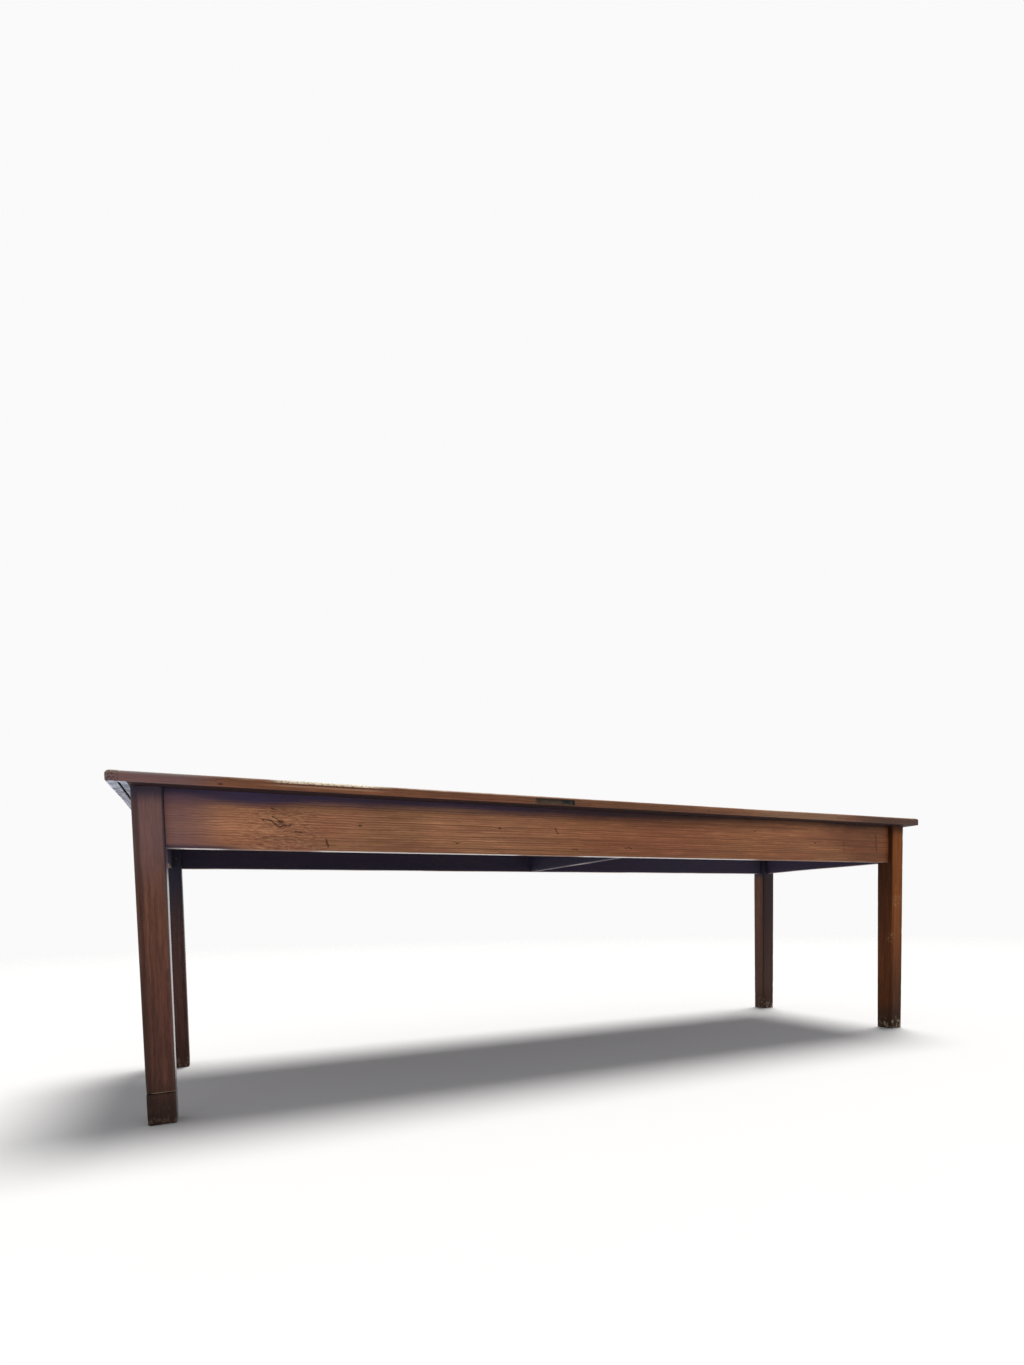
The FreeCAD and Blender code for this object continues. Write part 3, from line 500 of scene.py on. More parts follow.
def top_timber(node, pith, seed, tone, runs="x", knots=0.42, hue=(1, 1, 1), eyes=()):
    """Waxed planks: a rubbed brown face with scratches and cup rings, a redder worn edge."""
    wood = Timber(node, runs, pith, seed, ring=3.2 * MM, knots=knots, eyes=eyes)
    rise, blend, coat, size, here = wood.rise, wood.blend, wood.coat, wood.size, wood.here
    x, y, z, uneven = wood.x, wood.y, wood.z, wood.cloud
    wood.body((0.31, 0.13, 0.06), (0.115, 0.042, 0.02), (0.245, 0.088, 0.043), tone, hue)
    above = rise(z, TOP_FACE - 1.5 * MM, TOP_FACE - 0.8 * MM)
    flat = wood.vector("MULTIPLY", here, (1, 1, 0))
    # fine scratches both ways over the face
    crossed = []
    for angle, run in ((0.35, 0), (-0.5, 3), (1.2, 7)):
        turned = wood.node("ShaderNodeMapping", None, {
            "Vector": here, "Rotation": (0, 0, angle), "Location": (run, run, 0),
        })
        fine, patch = wood.noise(turned, (5, 520, 1), 1.0), wood.noise(turned, (7, 9, 1), 1.0)
        crossed.append(rise(fine, 0.66, 0.72) * rise(patch, 0.5, 0.62))
    crossed = wood.most(*crossed) * above
    coat(crossed * 0.45, (0.42, 0.25, 0.14))
    wood.height = wood.height - 0.25 * crossed
    stain = rise(wood.noise(here, (3.1, 3.1, 1), 4.0, 0.65), 0.57, 0.72) * above
    coat(stain * 0.6, (0.075, 0.036, 0.022))
    for middle, radius, strength in CUP_RINGS:
        away = wood.distance(flat, (*middle, 0))
        line = rise(size(away - radius * MM) + 2.5 * MM * uneven, 4.2 * MM, 1.6 * MM)
        coat(line * above * strength, (0.055, 0.026, 0.018))
    # old dirt lies in the joints of the boards
    from_lipping = size(size(x) - BOARD_END)
    dirt = rise(from_lipping, 2.4 * MM, 0.8 * MM)
    if runs == "x":
        dirt = wood.most(dirt, *[
            rise(size(y - joint) + 2 * MM * uneven, 3.6 * MM, 1.6 * MM) for joint in BOARD_EDGES[1:-1]
        ])
    coat(dirt * above * 0.8, (0.026, 0.013, 0.009))
    # the upper arris is rubbed
    thick = (TOP_UNDER - 0.2, TOP_FACE)
    rubbed = wood.most(wood.near_arris(6 * MM, y=(-TOP_EDGE, TOP_EDGE), z=thick),
                       wood.near_arris(6 * MM, x=(-TOP_END, TOP_END), z=thick))
    coat(rubbed * 0.34, (0.46, 0.27, 0.155))
    # the front edge: dark polish in the middle and at the right end, less on its upper half; at the left end
    # a painted grey reflection, palest on the upper half
    edge = rise(y, -0.366, -0.37)
    lower = rise(z, TOP_FACE - 3.5 * MM, TOP_FACE - 10 * MM)
    polish = 0.16 + rise(size(x + 0.03), 0.34, 0.2, top=0.2)
    polish = polish + rise(x + 0.1 * uneven, 0.92, 1.2, top=0.62)
    coat(edge * polish * (0.45 + 0.55 * lower), (0.034, 0.012, 0.005))
    coat(edge * rise(size(x - 0.71), 0.26, 0.1, top=0.3), (0.4, 0.26, 0.15))
    waxed = edge * rise(x + 0.05 * uneven, -1.02, -1.14)
    coat(waxed * 0.66, (0.2, 0.122, 0.135))
    coat(waxed * (1 - lower) * 0.6, (0.31, 0.27, 0.25))
    if runs == "y":
        # the nose is painted grey at the left end as a reflection, and dark at the right, its end grain
        # mottled
        nose = rise(size(x), BOARD_END + 8 * MM, BOARD_END + 20 * MM)
        coat(nose * 0.75, blend(rise(x, 0.0, 0.1), (0.19, 0.12, 0.118), (0.06, 0.026, 0.014)))
        mottle = wood.noise(here, (190, 190, 260), 3.0, 0.7)
        worn_end = wood.most(edge, nose)
        coat(worn_end * rise(mottle, 0.49, 0.57) * 0.78, (0.055, 0.026, 0.028))
        coat(worn_end * rise(mottle, 0.43, 0.35) * 0.35, (0.36, 0.28, 0.25))
    # below, the wood is painted dark as shade, and dull; where it overhangs the left end it is painted pale
    # and bluish as light from the floor, with painted highlights, dark mottling and a dark ring
    under = rise(z, TOP_UNDER + 2.0 * MM, TOP_UNDER + 0.8 * MM)
    sooty = blend(rise(x, 1.15, 1.25), (0.02, 0.016, 0.024), (0.03, 0.011, 0.006))
    sooty = blend(0.6, wood.scaled(wood.colour, 0.25), sooty)
    bloom = wood.noise(here, (120, 40, 1), 3.0, 0.6)
    ring = rise(size(wood.distance(flat, (-1.284, -0.248, 0)) - 7 * MM), 3.5 * MM, 1.0 * MM)
    pale = wood.colour
    for mask, colour in (
        (0.9, (0.42, 0.47, 0.59)),
        (rise(bloom, 0.48, 0.62) * 0.7, (0.7, 0.78, 0.94)),
        (rise(bloom, 0.46, 0.34) * 0.7, (0.14, 0.165, 0.235)),
        (ring * 0.6, (0.055, 0.06, 0.08)),
    ):
        pale = blend(mask, pale, colour)
    coat(under, blend(rise(x, -LEG_X, -LEG_X - 5 * MM), sooty, pale))
    # the joint of the lipping is an open dark line below
    seam = rise(from_lipping, 3.6 * MM, 2.2 * MM) * rise(size(y), TOP_EDGE - 6 * MM, TOP_EDGE - 12 * MM)
    coat(seam * rise(z, TOP_UNDER + 6 * MM, TOP_UNDER + 4 * MM), (0.008, 0.009, 0.018))
    # the upper arris is bare here and there; where people sat it carries a painted highlight: a cream line of
    # glints over dark pricks and a fainter orange row
    front = rise(size(y), TOP_EDGE - 10 * MM, TOP_EDGE - 4 * MM)
    bare = rise(wood.noise(here, (7, 7, 7), 2.0) + 0.25 * wood.flame, 0.62, 0.8)
    bare = bare * front * rise(z, TOP_FACE - 9 * MM, TOP_FACE - 5 * MM)
    coat(bare * 0.16, (0.85, 0.66, 0.46))
    seat = rise(size(x + 0.835) + 0.06 * uneven, 0.195, 0.115) * front * rise(y, 0.0, -0.1)
    pricks = wood.noise(here, (330, 60, 330), 1.0)
    second = rise(size(z - TOP_FACE + 14.5 * MM), 2.8 * MM, 1.2 * MM)
    coat(seat * second * 0.4, (0.62, 0.38, 0.24))
    row = rise(size(z - TOP_FACE + 10.8 * MM), 2.4 * MM, 1.0 * MM) * rise(pricks, 0.44, 0.52)
    coat(seat * row * 0.85, (0.07, 0.026, 0.016))
    cream = rise(z, TOP_FACE - 9.0 * MM, TOP_FACE - 7.4 * MM) * rise(pricks, 0.66, 0.56)
    cream = cream * rise(z, TOP_FACE - 1.6 * MM, TOP_FACE - 3.2 * MM, bottom=0.3)
    coat(seat * cream * 0.95, (0.95, 0.82, 0.62))
    wood.rough = 0.3 + 0.18 * uneven + 0.12 * wood.pore - 0.06 * rubbed + 0.25 * under
    return wood.shader(Specular_IOR_Level=0.2)


def inner_timber(node, runs, seed, tone=1.0):
    """Bare inner wood: buttons, pegs, loose tongues and the dowel."""
    wood = Timber(node, runs, (0.03, 0.02), seed, ring=3.2 * MM, wander=6 * MM)
    wood.body((0.34, 0.21, 0.12), (0.17, 0.09, 0.05), (0.29, 0.165, 0.09), tone)
    dust = wood.rise(wood.noise(wood.here, (40, 40, 40), 3.0), 0.45, 0.75)
    wood.coat(dust * 0.35, (0.11 * tone, 0.085 * tone, 0.07 * tone))
    wood.rough = 0.62 + 0.15 * wood.cloud
    return wood.shader(Specular_IOR_Level=0.2)


# Metal finishes

def iron(name):
    """Dark iron: brown rust in the pits, steel where it is rubbed."""
    metal = Surface(name)
    here = metal.here
    metal.height = metal.noise(here, (420, 420, 420), 3.0, 0.6)
    rust = metal.rise(metal.height + 0.5 * metal.noise(here, (120, 120, 120)), 0.72, 0.9)
    metal.colour = metal.blend(rust, (0.055, 0.05, 0.05), (0.105, 0.045, 0.022))
    metal.rough = 0.42 + 0.35 * rust
    return metal.shader(depth=0.15 * MM, Metallic=0.85)


def old_brass(name):
    """The plate in the front edge: dark grey-green to the right, brown with old varnish to the left."""
    metal = Surface(name)
    rise, coat, here, x, z = metal.rise, metal.coat, metal.here, metal.x, metal.z
    uneven = metal.noise(here, (90, 90, 160), 3.0, 0.6)
    green = rise(x + 0.012 * uneven, -0.206, -0.188)
    metal.colour = metal.blend(green, (0.08, 0.052, 0.034), (0.014, 0.016, 0.014))
    upper = rise(z + 0.002 * uneven, PLATE_Z[1] - 5 * MM, PLATE_Z[1] - 2.5 * MM)
    coat(upper * 0.75, (0.02, 0.018, 0.015))
    spots = rise(metal.noise(here, (260, 260, 260)), 0.55, 0.64)
    coat(spots * 0.6, (0.03, 0.022, 0.018))
    rubbed = rise(z + 0.002 * uneven, PLATE_Z[0] + 4.5 * MM, PLATE_Z[0] + 2.5 * MM)
    rubbed = rubbed * rise(x, PLATE_X[1] - 5 * MM, PLATE_X[1] - 12 * MM)
    coat(rubbed * 0.6, (0.11, 0.104, 0.082))
    screw = metal.distance(here, (PLATE_X[0] + 12 * MM, -TOP_EDGE, sum(PLATE_Z) / 2))
    coat(rise(screw, 7 * MM, 5 * MM) * 0.8, (0.022, 0.017, 0.014))
    metal.rough = 0.46 + 0.28 * uneven + 0.1 * spots
    metal.height = metal.noise(here, (160, 600, 900), 2.0, 0.6) + 0.6 * spots
    return metal.shader(depth=0.2 * MM, Metallic=0.1, Specular_IOR_Level=0.12)


# Mesh tools

def box_mesh(low, high):
    bm = bmesh.new()
    low, high = Vector(low), Vector(high)
    size = Matrix.Diagonal((*(high - low), 1))
    bmesh.ops.create_cube(bm, size=1.0, matrix=Matrix.Translation((low + high) / 2) @ size)
    return bm


def at(place, **where):
    """Whether a place lies on planes such as x=0.5."""
    return all(abs(getattr(place, axis) - value) < 1e-6 for axis, value in where.items())


def within(place, **spans):
    return all(low < getattr(place, axis) < high for axis, (low, high) in spans.items())


def bevel(bm, edges, radius, segments):
    bmesh.ops.bevel(
        bm, geom=edges, offset=radius, offset_type="OFFSET", segments=segments, profile=0.5,
        affect="EDGES", material=-1, clamp_overlap=True,
    )


def round_over(bm, radius, segments, *lines):
    """Round every edge that lies on one of the lines, such as dict(y=..., z=...)."""
    edges = [e for e in bm.edges if any(all(at(v.co, **line) for v in e.verts) for line in lines)]
    bevel(bm, edges, radius, segments)


def along(axis, length=1.0):
    return Vector([length * (axis == each) for each in "xyz"])


def slice_at(bm, **cuts):
    """Cut the mesh through at places on its axes, such as x=(0.1, 0.2), keeping both sides joined."""
    for axis, places in cuts.items():
        for where in places:
            geom = bm.verts[:] + bm.edges[:] + bm.faces[:]
            bmesh.ops.bisect_plane(
                bm, geom=geom, dist=1e-7, plane_co=along(axis, where), plane_no=along(axis),
            )


def steps(low, high, length=CELL):
    """Places that divide a span into equal steps of about the given length, without its ends."""
    count = max(1, round((high - low) / length))
    return [low + (high - low) * index / count for index in range(1, count)]


def push(bm, axis, where, length, **spans):
    """Extrude the part of one flat face that lies inside the spans: a tenon, a mortise or a groove."""
    faces = [f for f in bm.faces if at(f.calc_center_median(), **{axis: where})
             and within(f.calc_center_median(), **spans)]
    made = bmesh.ops.extrude_face_region(bm, geom=faces)["geom"]
    moved = [item for item in made if isinstance(item, bmesh.types.BMVert)]
    bmesh.ops.translate(bm, verts=moved, vec=along(axis, length))
    bmesh.ops.delete(bm, geom=[f for f in faces if f.is_valid], context="FACES")


def move(bm, *shift):
    bmesh.ops.translate(bm, verts=bm.verts, vec=shift)


def mirror(bm, *factors):
    """Turn the mesh over with factors of 1 and -1, its faces still outwards."""
    bmesh.ops.scale(bm, verts=bm.verts, vec=factors)
    if math.prod(factors) < 0:
        bmesh.ops.reverse_faces(bm, faces=bm.faces)


def cloud(place, seed, sizes):
    """Smooth noise between 0 and 1, its clouds as large as sizes."""
    where = [p / s for p, s in zip(place, sizes)]
    return 0.5 + 0.5 * noise.noise(Vector(where) + Vector((seed * 7.31, seed * 3.17, seed * 5.53)))


def smooth(value, low, high):
    share = min(max((value - low) / (high - low), 0.0), 1.0)
    return share * share * (3 - 2 * share)


def fall(place, end, radius):
    """How far a rounding of a given radius has dropped away at a place near the end."""
    into = max(0.0, place - (end - radius))
    return radius - math.sqrt(max(0.0, radius * radius - into * into))


def wear(bm, seed, runs, planing=0.35 * MM, dents=1.1 * MM, more=None):
    """Wear every surface inwards: hand planing, raised grain, knocks on the arrises."""
    long_way = [0.3 if axis == runs else 0.07 for axis in "xyz"]
    short_way = [0.06 if axis == runs else 0.01 for axis in "xyz"]
    knock = [0.035 if axis == runs else 0.025 for axis in "xyz"]
    bm.normal_update()
    moves = []
    for vert in bm.verts:
        place, normal = vert.co, vert.normal
        turned = min(1.0, (1 - max(abs(part) for part in normal)) / 0.25)
        depth = planing * cloud(place, seed, long_way) + 0.12 * MM * cloud(place, seed + 3, short_way)
        knocked = smooth(cloud(place, seed + 5, knock), 0.6, 0.9)
        small = smooth(cloud(place, seed + 8, [s * 0.35 for s in knock]), 0.62, 0.85)
        depth += turned * dents * (knocked + 0.4 * small)
        if more:
            depth += more(place, normal, turned)
        moves.append((vert, normal * depth))
    for vert, shift in moves:
        vert.co -= shift


def make_object(bm, name, finish):
    """Turn a finished mesh into an object at the origin."""
    mesh = bpy.data.meshes.new(name)
    bm.to_mesh(mesh)
    bm.free()
    mesh.materials.append(finish)
    made = bpy.data.objects.new(name, mesh)
    bpy.context.scene.collection.objects.link(made)
    return made


def piece(bm, node, finish):
    """Turn a finished mesh into the worn piece that stands for a CAD node."""
    made = make_object(bm, f"worn_{node}", finish)
    made.data.polygons.foreach_set("use_smooth", [True] * len(made.data.polygons))
    made.data.set_sharp_from_angle(angle=math.radians(38))
    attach(made, "root")
    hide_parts(node)


# The top

EASED = 1.4 * MM  # how far the joint of an end lipping is eased
TOP_ROUND, UNDER_ROUND = (7 * MM, 5), (3 * MM, 3)  # radius and segments of the top's outer arrises

# Drying cracks in the face of each board: from x, to x, y, half width and depth in millimetres
CRACKS = (
    [(-1.28, -1.06, -0.262, 0.9, 2.2)],
    [(0.98, 1.28, -0.083, 0.8, 2.0)],
    [(-0.42, 0.05, 0.141, 0.7, 1.6), (1.12, 1.28, 0.052, 0.8, 2.0)],
    [(-1.28, -1.14, 0.289, 0.8, 1.8)],
)
# How far the face of each board lies below the highest, in millimetres
LEVELS = (0.15, 0.4, 0.0, 0.3)


def gaping(place):
    """How far the joint of a lipping gapes below: nothing at the table's edges."""
    return 3.0 * MM * smooth(TOP_EDGE - abs(place.y), 4 * MM, 12 * MM)


def make_board(number, *looks, eyes=()):
    front, back = BOARD_EDGES[number - 1], BOARD_EDGES[number]
    outermost = number in (1, len(BOARD_EDGES) - 1)
    bm = box_mesh((-BOARD_END, front, TOP_UNDER), (BOARD_END, back, TOP_FACE))
    joints = [edge for edge in (front, back) if abs(edge) < TOP_EDGE - MM]
    for edge in {front, back} - set(joints):
        round_over(bm, *TOP_ROUND, dict(y=edge, z=TOP_FACE))
        round_over(bm, *UNDER_ROUND, dict(y=edge, z=TOP_UNDER))
    round_over(bm, 1.0 * MM, 2, *[dict(y=edge, z=TOP_FACE) for edge in joints])
    round_over(bm, 0.8 * MM, 1, *[dict(y=edge, z=TOP_UNDER) for edge in joints])
    tongue_ends, easing = (front + GROOVE_STOP, back - GROOVE_STOP), BOARD_END - EASED
    slice_at(bm, z=TONGUE, y=[*steps(*tongue_ends, 12 * MM), *tongue_ends],
             x=[-easing, *steps(-easing, easing), easing])
    for _, _, y, width, _ in CRACKS[number - 1]:
        slice_at(bm, y=(y - width * MM, y, y + width * MM))
    if number == 1:
        # the recess for the metal plate
        slice_at(bm, x=PLATE_X, z=PLATE_Z)
        push(bm, "y", front, 2.6 * MM, x=PLATE_X, z=PLATE_Z)
    for end in (-1, 1):
        push(bm, "x", end * BOARD_END, end * 11 * MM, y=tongue_ends, z=TONGUE)
    for edge in joints:
        push(bm, "y", edge, (10 if edge == front else -10) * MM, z=TONGUE)

    def more(place, normal, turned):
        depth = 0.0
        at_end = abs(place.x) > easing + 0.2 * MM
        if normal.z < -0.5 and at_end:
            depth = gaping(place)
        if outermost:
            # the long arris is worn lower where people sat
            sat = smooth(abs(place.x), 1.05, 0.55)
            sat *= smooth(abs(place.y), TOP_EDGE - 30 * MM, TOP_EDGE - 8 * MM)
            depth += 1.2 * MM * sat * smooth(normal.z, 0.1, 0.6)
        if normal.z > 0.9:
            # the face has sunk a little where people sit, and each board has its own level
            depth += LEVELS[number - 1] * MM + 0.35 * MM * smooth(abs(place.y), 0.2, 0.36)
            if at_end:
                depth += 0.6 * MM
            for low, high, y, width, deep in CRACKS[number - 1]:
                if abs(place.y - y) < width * MM * 0.5 and low < place.x < high:
                    # a crack runs out at the board's end or dies away
                    if max(abs(low), abs(high)) < 1.26:
                        deep *= smooth(place.x, low, low + 0.06) * smooth(place.x, high, high - 0.06)
                    depth += deep * MM
        return depth

    wear(bm, number * 2.3, "x", planing=0.45 * MM, more=more)
    node = f"top_board_{number}"
    pith, tone, hue = looks
    piece(bm, node, top_timber(node, pith, number, tone, hue=hue, eyes=eyes))


def worn_back(y, side):
    """How much an end of the top is worn back: only the left one is, less at the front than behind."""
    return (3.5 + 4.0 * smooth(y, -TOP_EDGE, -0.08)) * MM if side < 0 else 0.0


def make_lipping(side, node, pith, seed, tone, nose):
    """The board across an end. nose is how far its rounding reaches above and below."""
    inner, outer = BOARD_END, TOP_END
    bm = box_mesh((inner, -TOP_EDGE, TOP_UNDER), (outer, TOP_EDGE, TOP_FACE))
    round_over(bm, 11 * MM, 7, dict(x=outer, y=-TOP_EDGE), dict(x=outer, y=TOP_EDGE))
    for height, rounding in ((TOP_FACE, TOP_ROUND), (TOP_UNDER, UNDER_ROUND)):
        rim = [e for e in bm.edges if all(at(v.co, z=height) for v in e.verts)
               and not all(at(v.co, x=inner) for v in e.verts)]
        bevel(bm, rim, *rounding)
    groove = (GROOVE_STOP - TOP_EDGE, TOP_EDGE - GROOVE_STOP)
    tip = [outer - out * MM for out in (1.4, 0.7, 0.25)]
    slice_at(bm, z=TONGUE, y=[groove[0], *steps(*groove), groove[1]],
             x=[inner + EASED, inner + 6 * MM, *steps(inner + 6 * MM, outer, 2 * MM), *tip])
    push(bm, "x", inner, 12 * MM, y=groove, z=TONGUE)

    def more(place, normal, turned):
        depth = 0.3 * MM if normal.x > 0.9 else 0.0
        if place.x < inner + 0.5 * MM:
            if normal.z > 0.5:
                depth += 0.6 * MM
            if normal.z < -0.5:
                depth += gaping(place)
        corner = smooth(abs(place.y), TOP_EDGE - 20 * MM, TOP_EDGE) * smooth(place.x, inner, outer)
        return depth + 1.0 * MM * corner * cloud(place, 4.4, (0.012, 0.012, 0.012))

    wear(bm, 31 + side, "y", more=more)
    for vert in bm.verts:
        # the end is rounded over, more above than below
        vert.co.z = min(vert.co.z, TOP_FACE - 0.1 * MM - fall(vert.co.x, outer, nose[0]) * 14 * MM / nose[0])
        vert.co.z = max(vert.co.z, TOP_UNDER + fall(vert.co.x, outer, nose[1]) * 9 * MM / nose[1])
        if vert.co.x > inner:
            vert.co.x -= worn_back(vert.co.y, side) * (vert.co.x - inner) / (outer - inner)
    mirror(bm, side, 1, 1)
    piece(bm, node, top_timber(node, pith, seed, tone, "y", 0.0))


def make_nails(finish):
    """The nails through both end boards, their heads all but flush with the worn ends."""
    bm = bmesh.new()
    for side in (-1, 1):
        for front, back in zip(BOARD_EDGES, BOARD_EDGES[1:]):
            y = (front + back) / 2
            out = TOP_END - worn_back(y, side) - 0.25 * MM
            # the head, then the shank: radius, radius at its tip, start and end in millimetres
            for radius, tip, start, end in ((2.8, 2.4, 0.0, 1.2), (1.5, 1.5, 1.2, 46.0)):
                place = Vector((side * (out - (start + end) / 2 * MM), y, (TOP_UNDER + TOP_FACE) / 2))
                bmesh.ops.create_cone(
                    bm, cap_ends=True, cap_tris=False, segments=20, radius1=radius * MM, radius2=tip * MM,
                    depth=(end - start) * MM,
                    matrix=Matrix.Translation(place) @ Matrix.Rotation(side * math.pi / 2, 4, "Y"),
                )
    piece(bm, "lipping_nails", finish)


# Aprons and rail

def apron_mesh(half, shares, tenon, mortise=None):
    """A long board with its outer face on y=0 and its middle over x=0, as both kinds of apron have.

    shares says how far along it the slots for the buttons lie, mortise where the cross rail goes in.
    """
    bm = box_mesh((-half, 0, APRON_LOW), (half, APRON_THICK, TOP_UNDER))
    round_over(bm, 2.0 * MM, 2, dict(y=0, z=APRON_LOW), dict(y=APRON_THICK, z=APRON_LOW))
    slice_at(bm, z=[*TENON, *SLOT, *steps(*TENON)], y=TENON_SPAN, x=steps(-half, half))
    slots = [(2 * half * share - half - SLOT_REACH, 2 * half * share - half + SLOT_REACH) for share in shares]
    for slot in slots:
        slice_at(bm, x=slot)
    if mortise is not None:
        mouth = [mortise + edge for edge in RAIL_TENON]
        slice_at(bm, x=mouth)
        push(bm, "y", APRON_THICK, -11 * MM, x=mouth, z=TENON)
    for slot in slots:
        push(bm, "y", APRON_THICK, -10 * MM, x=slot, z=SLOT)
    for end in (-1, 1):
        push(bm, "x", end * half, end * tenon, y=TENON_SPAN, z=TENON)
    return bm


def make_long_apron(side, node, pith, grain_seed, wear_seed, **looks):
    bm = apron_mesh(SHOULDER_X, (0.08, 0.36, 0.64, 0.92), 27.5 * MM, RAIL_X)
    move(bm, 0, -APRON_FACE_Y, 0)
    mirror(bm, 1, -side, 1)
    wear(bm, wear_seed, "x", planing=0.5 * MM, dents=1.3 * MM)
    outer = ("y", side * APRON_FACE_Y, side * APRON_BACK_Y)
    piece(bm, node, apron_timber(node, "x", pith, grain_seed, outer, **looks))


def make_end_apron(side, node, pith, grain_seed, wear_seed, **looks):
    bm = apron_mesh(SHOULDER_Y, (0.25, 0.75), 41 * MM)
    # turn the face from -Y to -X
    bmesh.ops.rotate(bm, verts=bm.verts, cent=(0, 0, 0), matrix=Matrix.Rotation(-math.pi / 2, 3, "Z"))
    move(bm, -APRON_FACE_X, 0, 0)
    mirror(bm, -side, 1, 1)
    wear(bm, wear_seed, "y", planing=0.5 * MM)
    outer = ("x", side * APRON_FACE_X, side * APRON_BACK_X)
    wood = apron_timber(node, "y", pith, grain_seed, outer, knots=0.5, waves=0.14, **looks)
    piece(bm, node, wood)


def make_cross_rail(finish):
    half = APRON_BACK_Y
    bm = box_mesh((-RAIL_HALF, -half, APRON_LOW), (RAIL_HALF, half, TOP_UNDER))
    round_over(bm, 2.0 * MM, 2, dict(x=-RAIL_HALF, z=APRON_LOW), dict(x=RAIL_HALF, z=APRON_LOW))
    slice_at(bm, z=[*TENON, *steps(*TENON, 10 * MM)], x=RAIL_TENON, y=steps(-half, half, 10 * MM))
    for end in (-1, 1):
        push(bm, "y", end * half, end * 10 * MM, x=RAIL_TENON, z=TENON)
    move(bm, RAIL_X, 0, 0)
    wear(bm, 51, "y", planing=0.6 * MM)
    piece(bm, "cross_rail", finish)


# Legs

def leg_mesh(low, high):
    """A leg with its outer corner over the origin and its taper on the inner faces."""
    bm = box_mesh((0, 0, low), (LEG_WIDTH, LEG_DEPTH, high))
    round_over(bm, 8 * MM, 5, dict(x=0, y=0))
    round_over(bm, 5 * MM, 3, dict(x=LEG_WIDTH, y=0), dict(x=0, y=LEG_DEPTH), dict(x=LEG_WIDTH, y=LEG_DEPTH))
    # the mesh is finer near the floor
    fine = 0.1
    heights = steps(max(low, fine), min(high, APRON_LOW))
    if low == 0.0:
        heights = [2 * MM] + steps(2 * MM, min(high, fine), 4.5 * MM) + heights * (high > fine)
        heights += [fine] * (high > fine)
    slices_x, slices_y = steps(0, LEG_WIDTH), steps(0, LEG_DEPTH)
    if high > APRON_LOW:
        heights += [APRON_LOW, *TENON, *steps(*TENON, 10 * MM), TENON[1] + 12 * MM, TENON[1] + 24 * MM]
        slices_x = [12 * MM, *MORTISE_SPAN, 35.5 * MM, 48 * MM]
        slices_y = [12 * MM, *MORTISE_SPAN, 44 * MM]
    slice_at(bm, z=heights, x=slices_x, y=slices_y)
    if high > APRON_LOW:
        push(bm, "x", LEG_WIDTH, -28.5 * MM, y=MORTISE_SPAN, z=TENON)
        push(bm, "y", LEG_DEPTH, -42 * MM, x=MORTISE_SPAN, z=TENON)
    for vert in bm.verts:
        slim = max(0.0, 1 - vert.co.z / APRON_LOW)
        vert.co.x *= 1 - slim * 4 / 64
        vert.co.y *= 1 - slim * 2 / 60
    return bm


def make_leg(sides, node, pith, grain_seed, wear_seed, low=0.0, high=TOP_UNDER, **looks):
    """sides is (-1 or 1, -1 or 1): which end and which side of the table the leg stands at."""
    bm = leg_mesh(low, high)
    move(bm, -LEG_X, -LEG_Y, 0)
    mirror(bm, -sides[0], -sides[1], 1)

    def more(place, normal, turned):
        depth = 0.0
        if place.z > APRON_LOW and (normal.x * sides[0] < -0.9 or normal.y * sides[1] < -0.9):
            # the pegs stand a little proud of the inner faces
            depth = 0.4 * MM
        worn_foot = smooth(place.z, 0.16, 0.0)
        depth += turned * worn_foot * 1.6 * MM * cloud(place, wear_seed, (0.02, 0.02, 0.05))
        broken = smooth(cloud(place, wear_seed + 2, (0.011, 0.011, 0.016)), 0.5, 0.8)
        depth += smooth(place.z, 0.022, 0.0) * broken * (1.2 + 3.2 * turned) * MM
        # both sides of the foot's joint are eased
        if low and place.z < low + 1.5 * MM:
            depth += 0.3 * MM * turned
        if high == SPLICE and abs(place.z - high) < 1 * MM:
            depth += 0.5 * MM * turned
        return depth

    wear(bm, wear_seed, "z", planing=0.5 * MM, dents=1.4 * MM, more=more)
    for vert in bm.verts:
        vert.co.z = max(vert.co.z, low)
    piece(bm, node, leg_timber(node, pith, grain_seed, sides, **looks))


# Making it all

# Two small knots show in the front edge. After the number: pith (y, z), tone and hue
make_board(1, (-0.3, 0.69), 0.95, (1, 1, 1), eyes=(
    ((-1.0745, -TOP_EDGE, 0.763), 4 * MM), ((0.312, -TOP_EDGE, 0.766), 3 * MM),
))
make_board(2, (-0.07, 0.83), 0.78, (1, 1.06, 1))
make_board(3, (0.09, 0.65), 1.04, (1, 1, 0.92))
make_board(4, (0.32, 0.7), 0.86, (1, 0.95, 0.95))
make_lipping(-1, "left_end_lipping", (1.2, 0.7), 5.0, 0.92, (16 * MM, 9 * MM))
make_lipping(1, "right_end_lipping", (-1.2, 0.71), 6.0, 0.85, (26 * MM, 18 * MM))
make_nails(iron("nail_iron"))

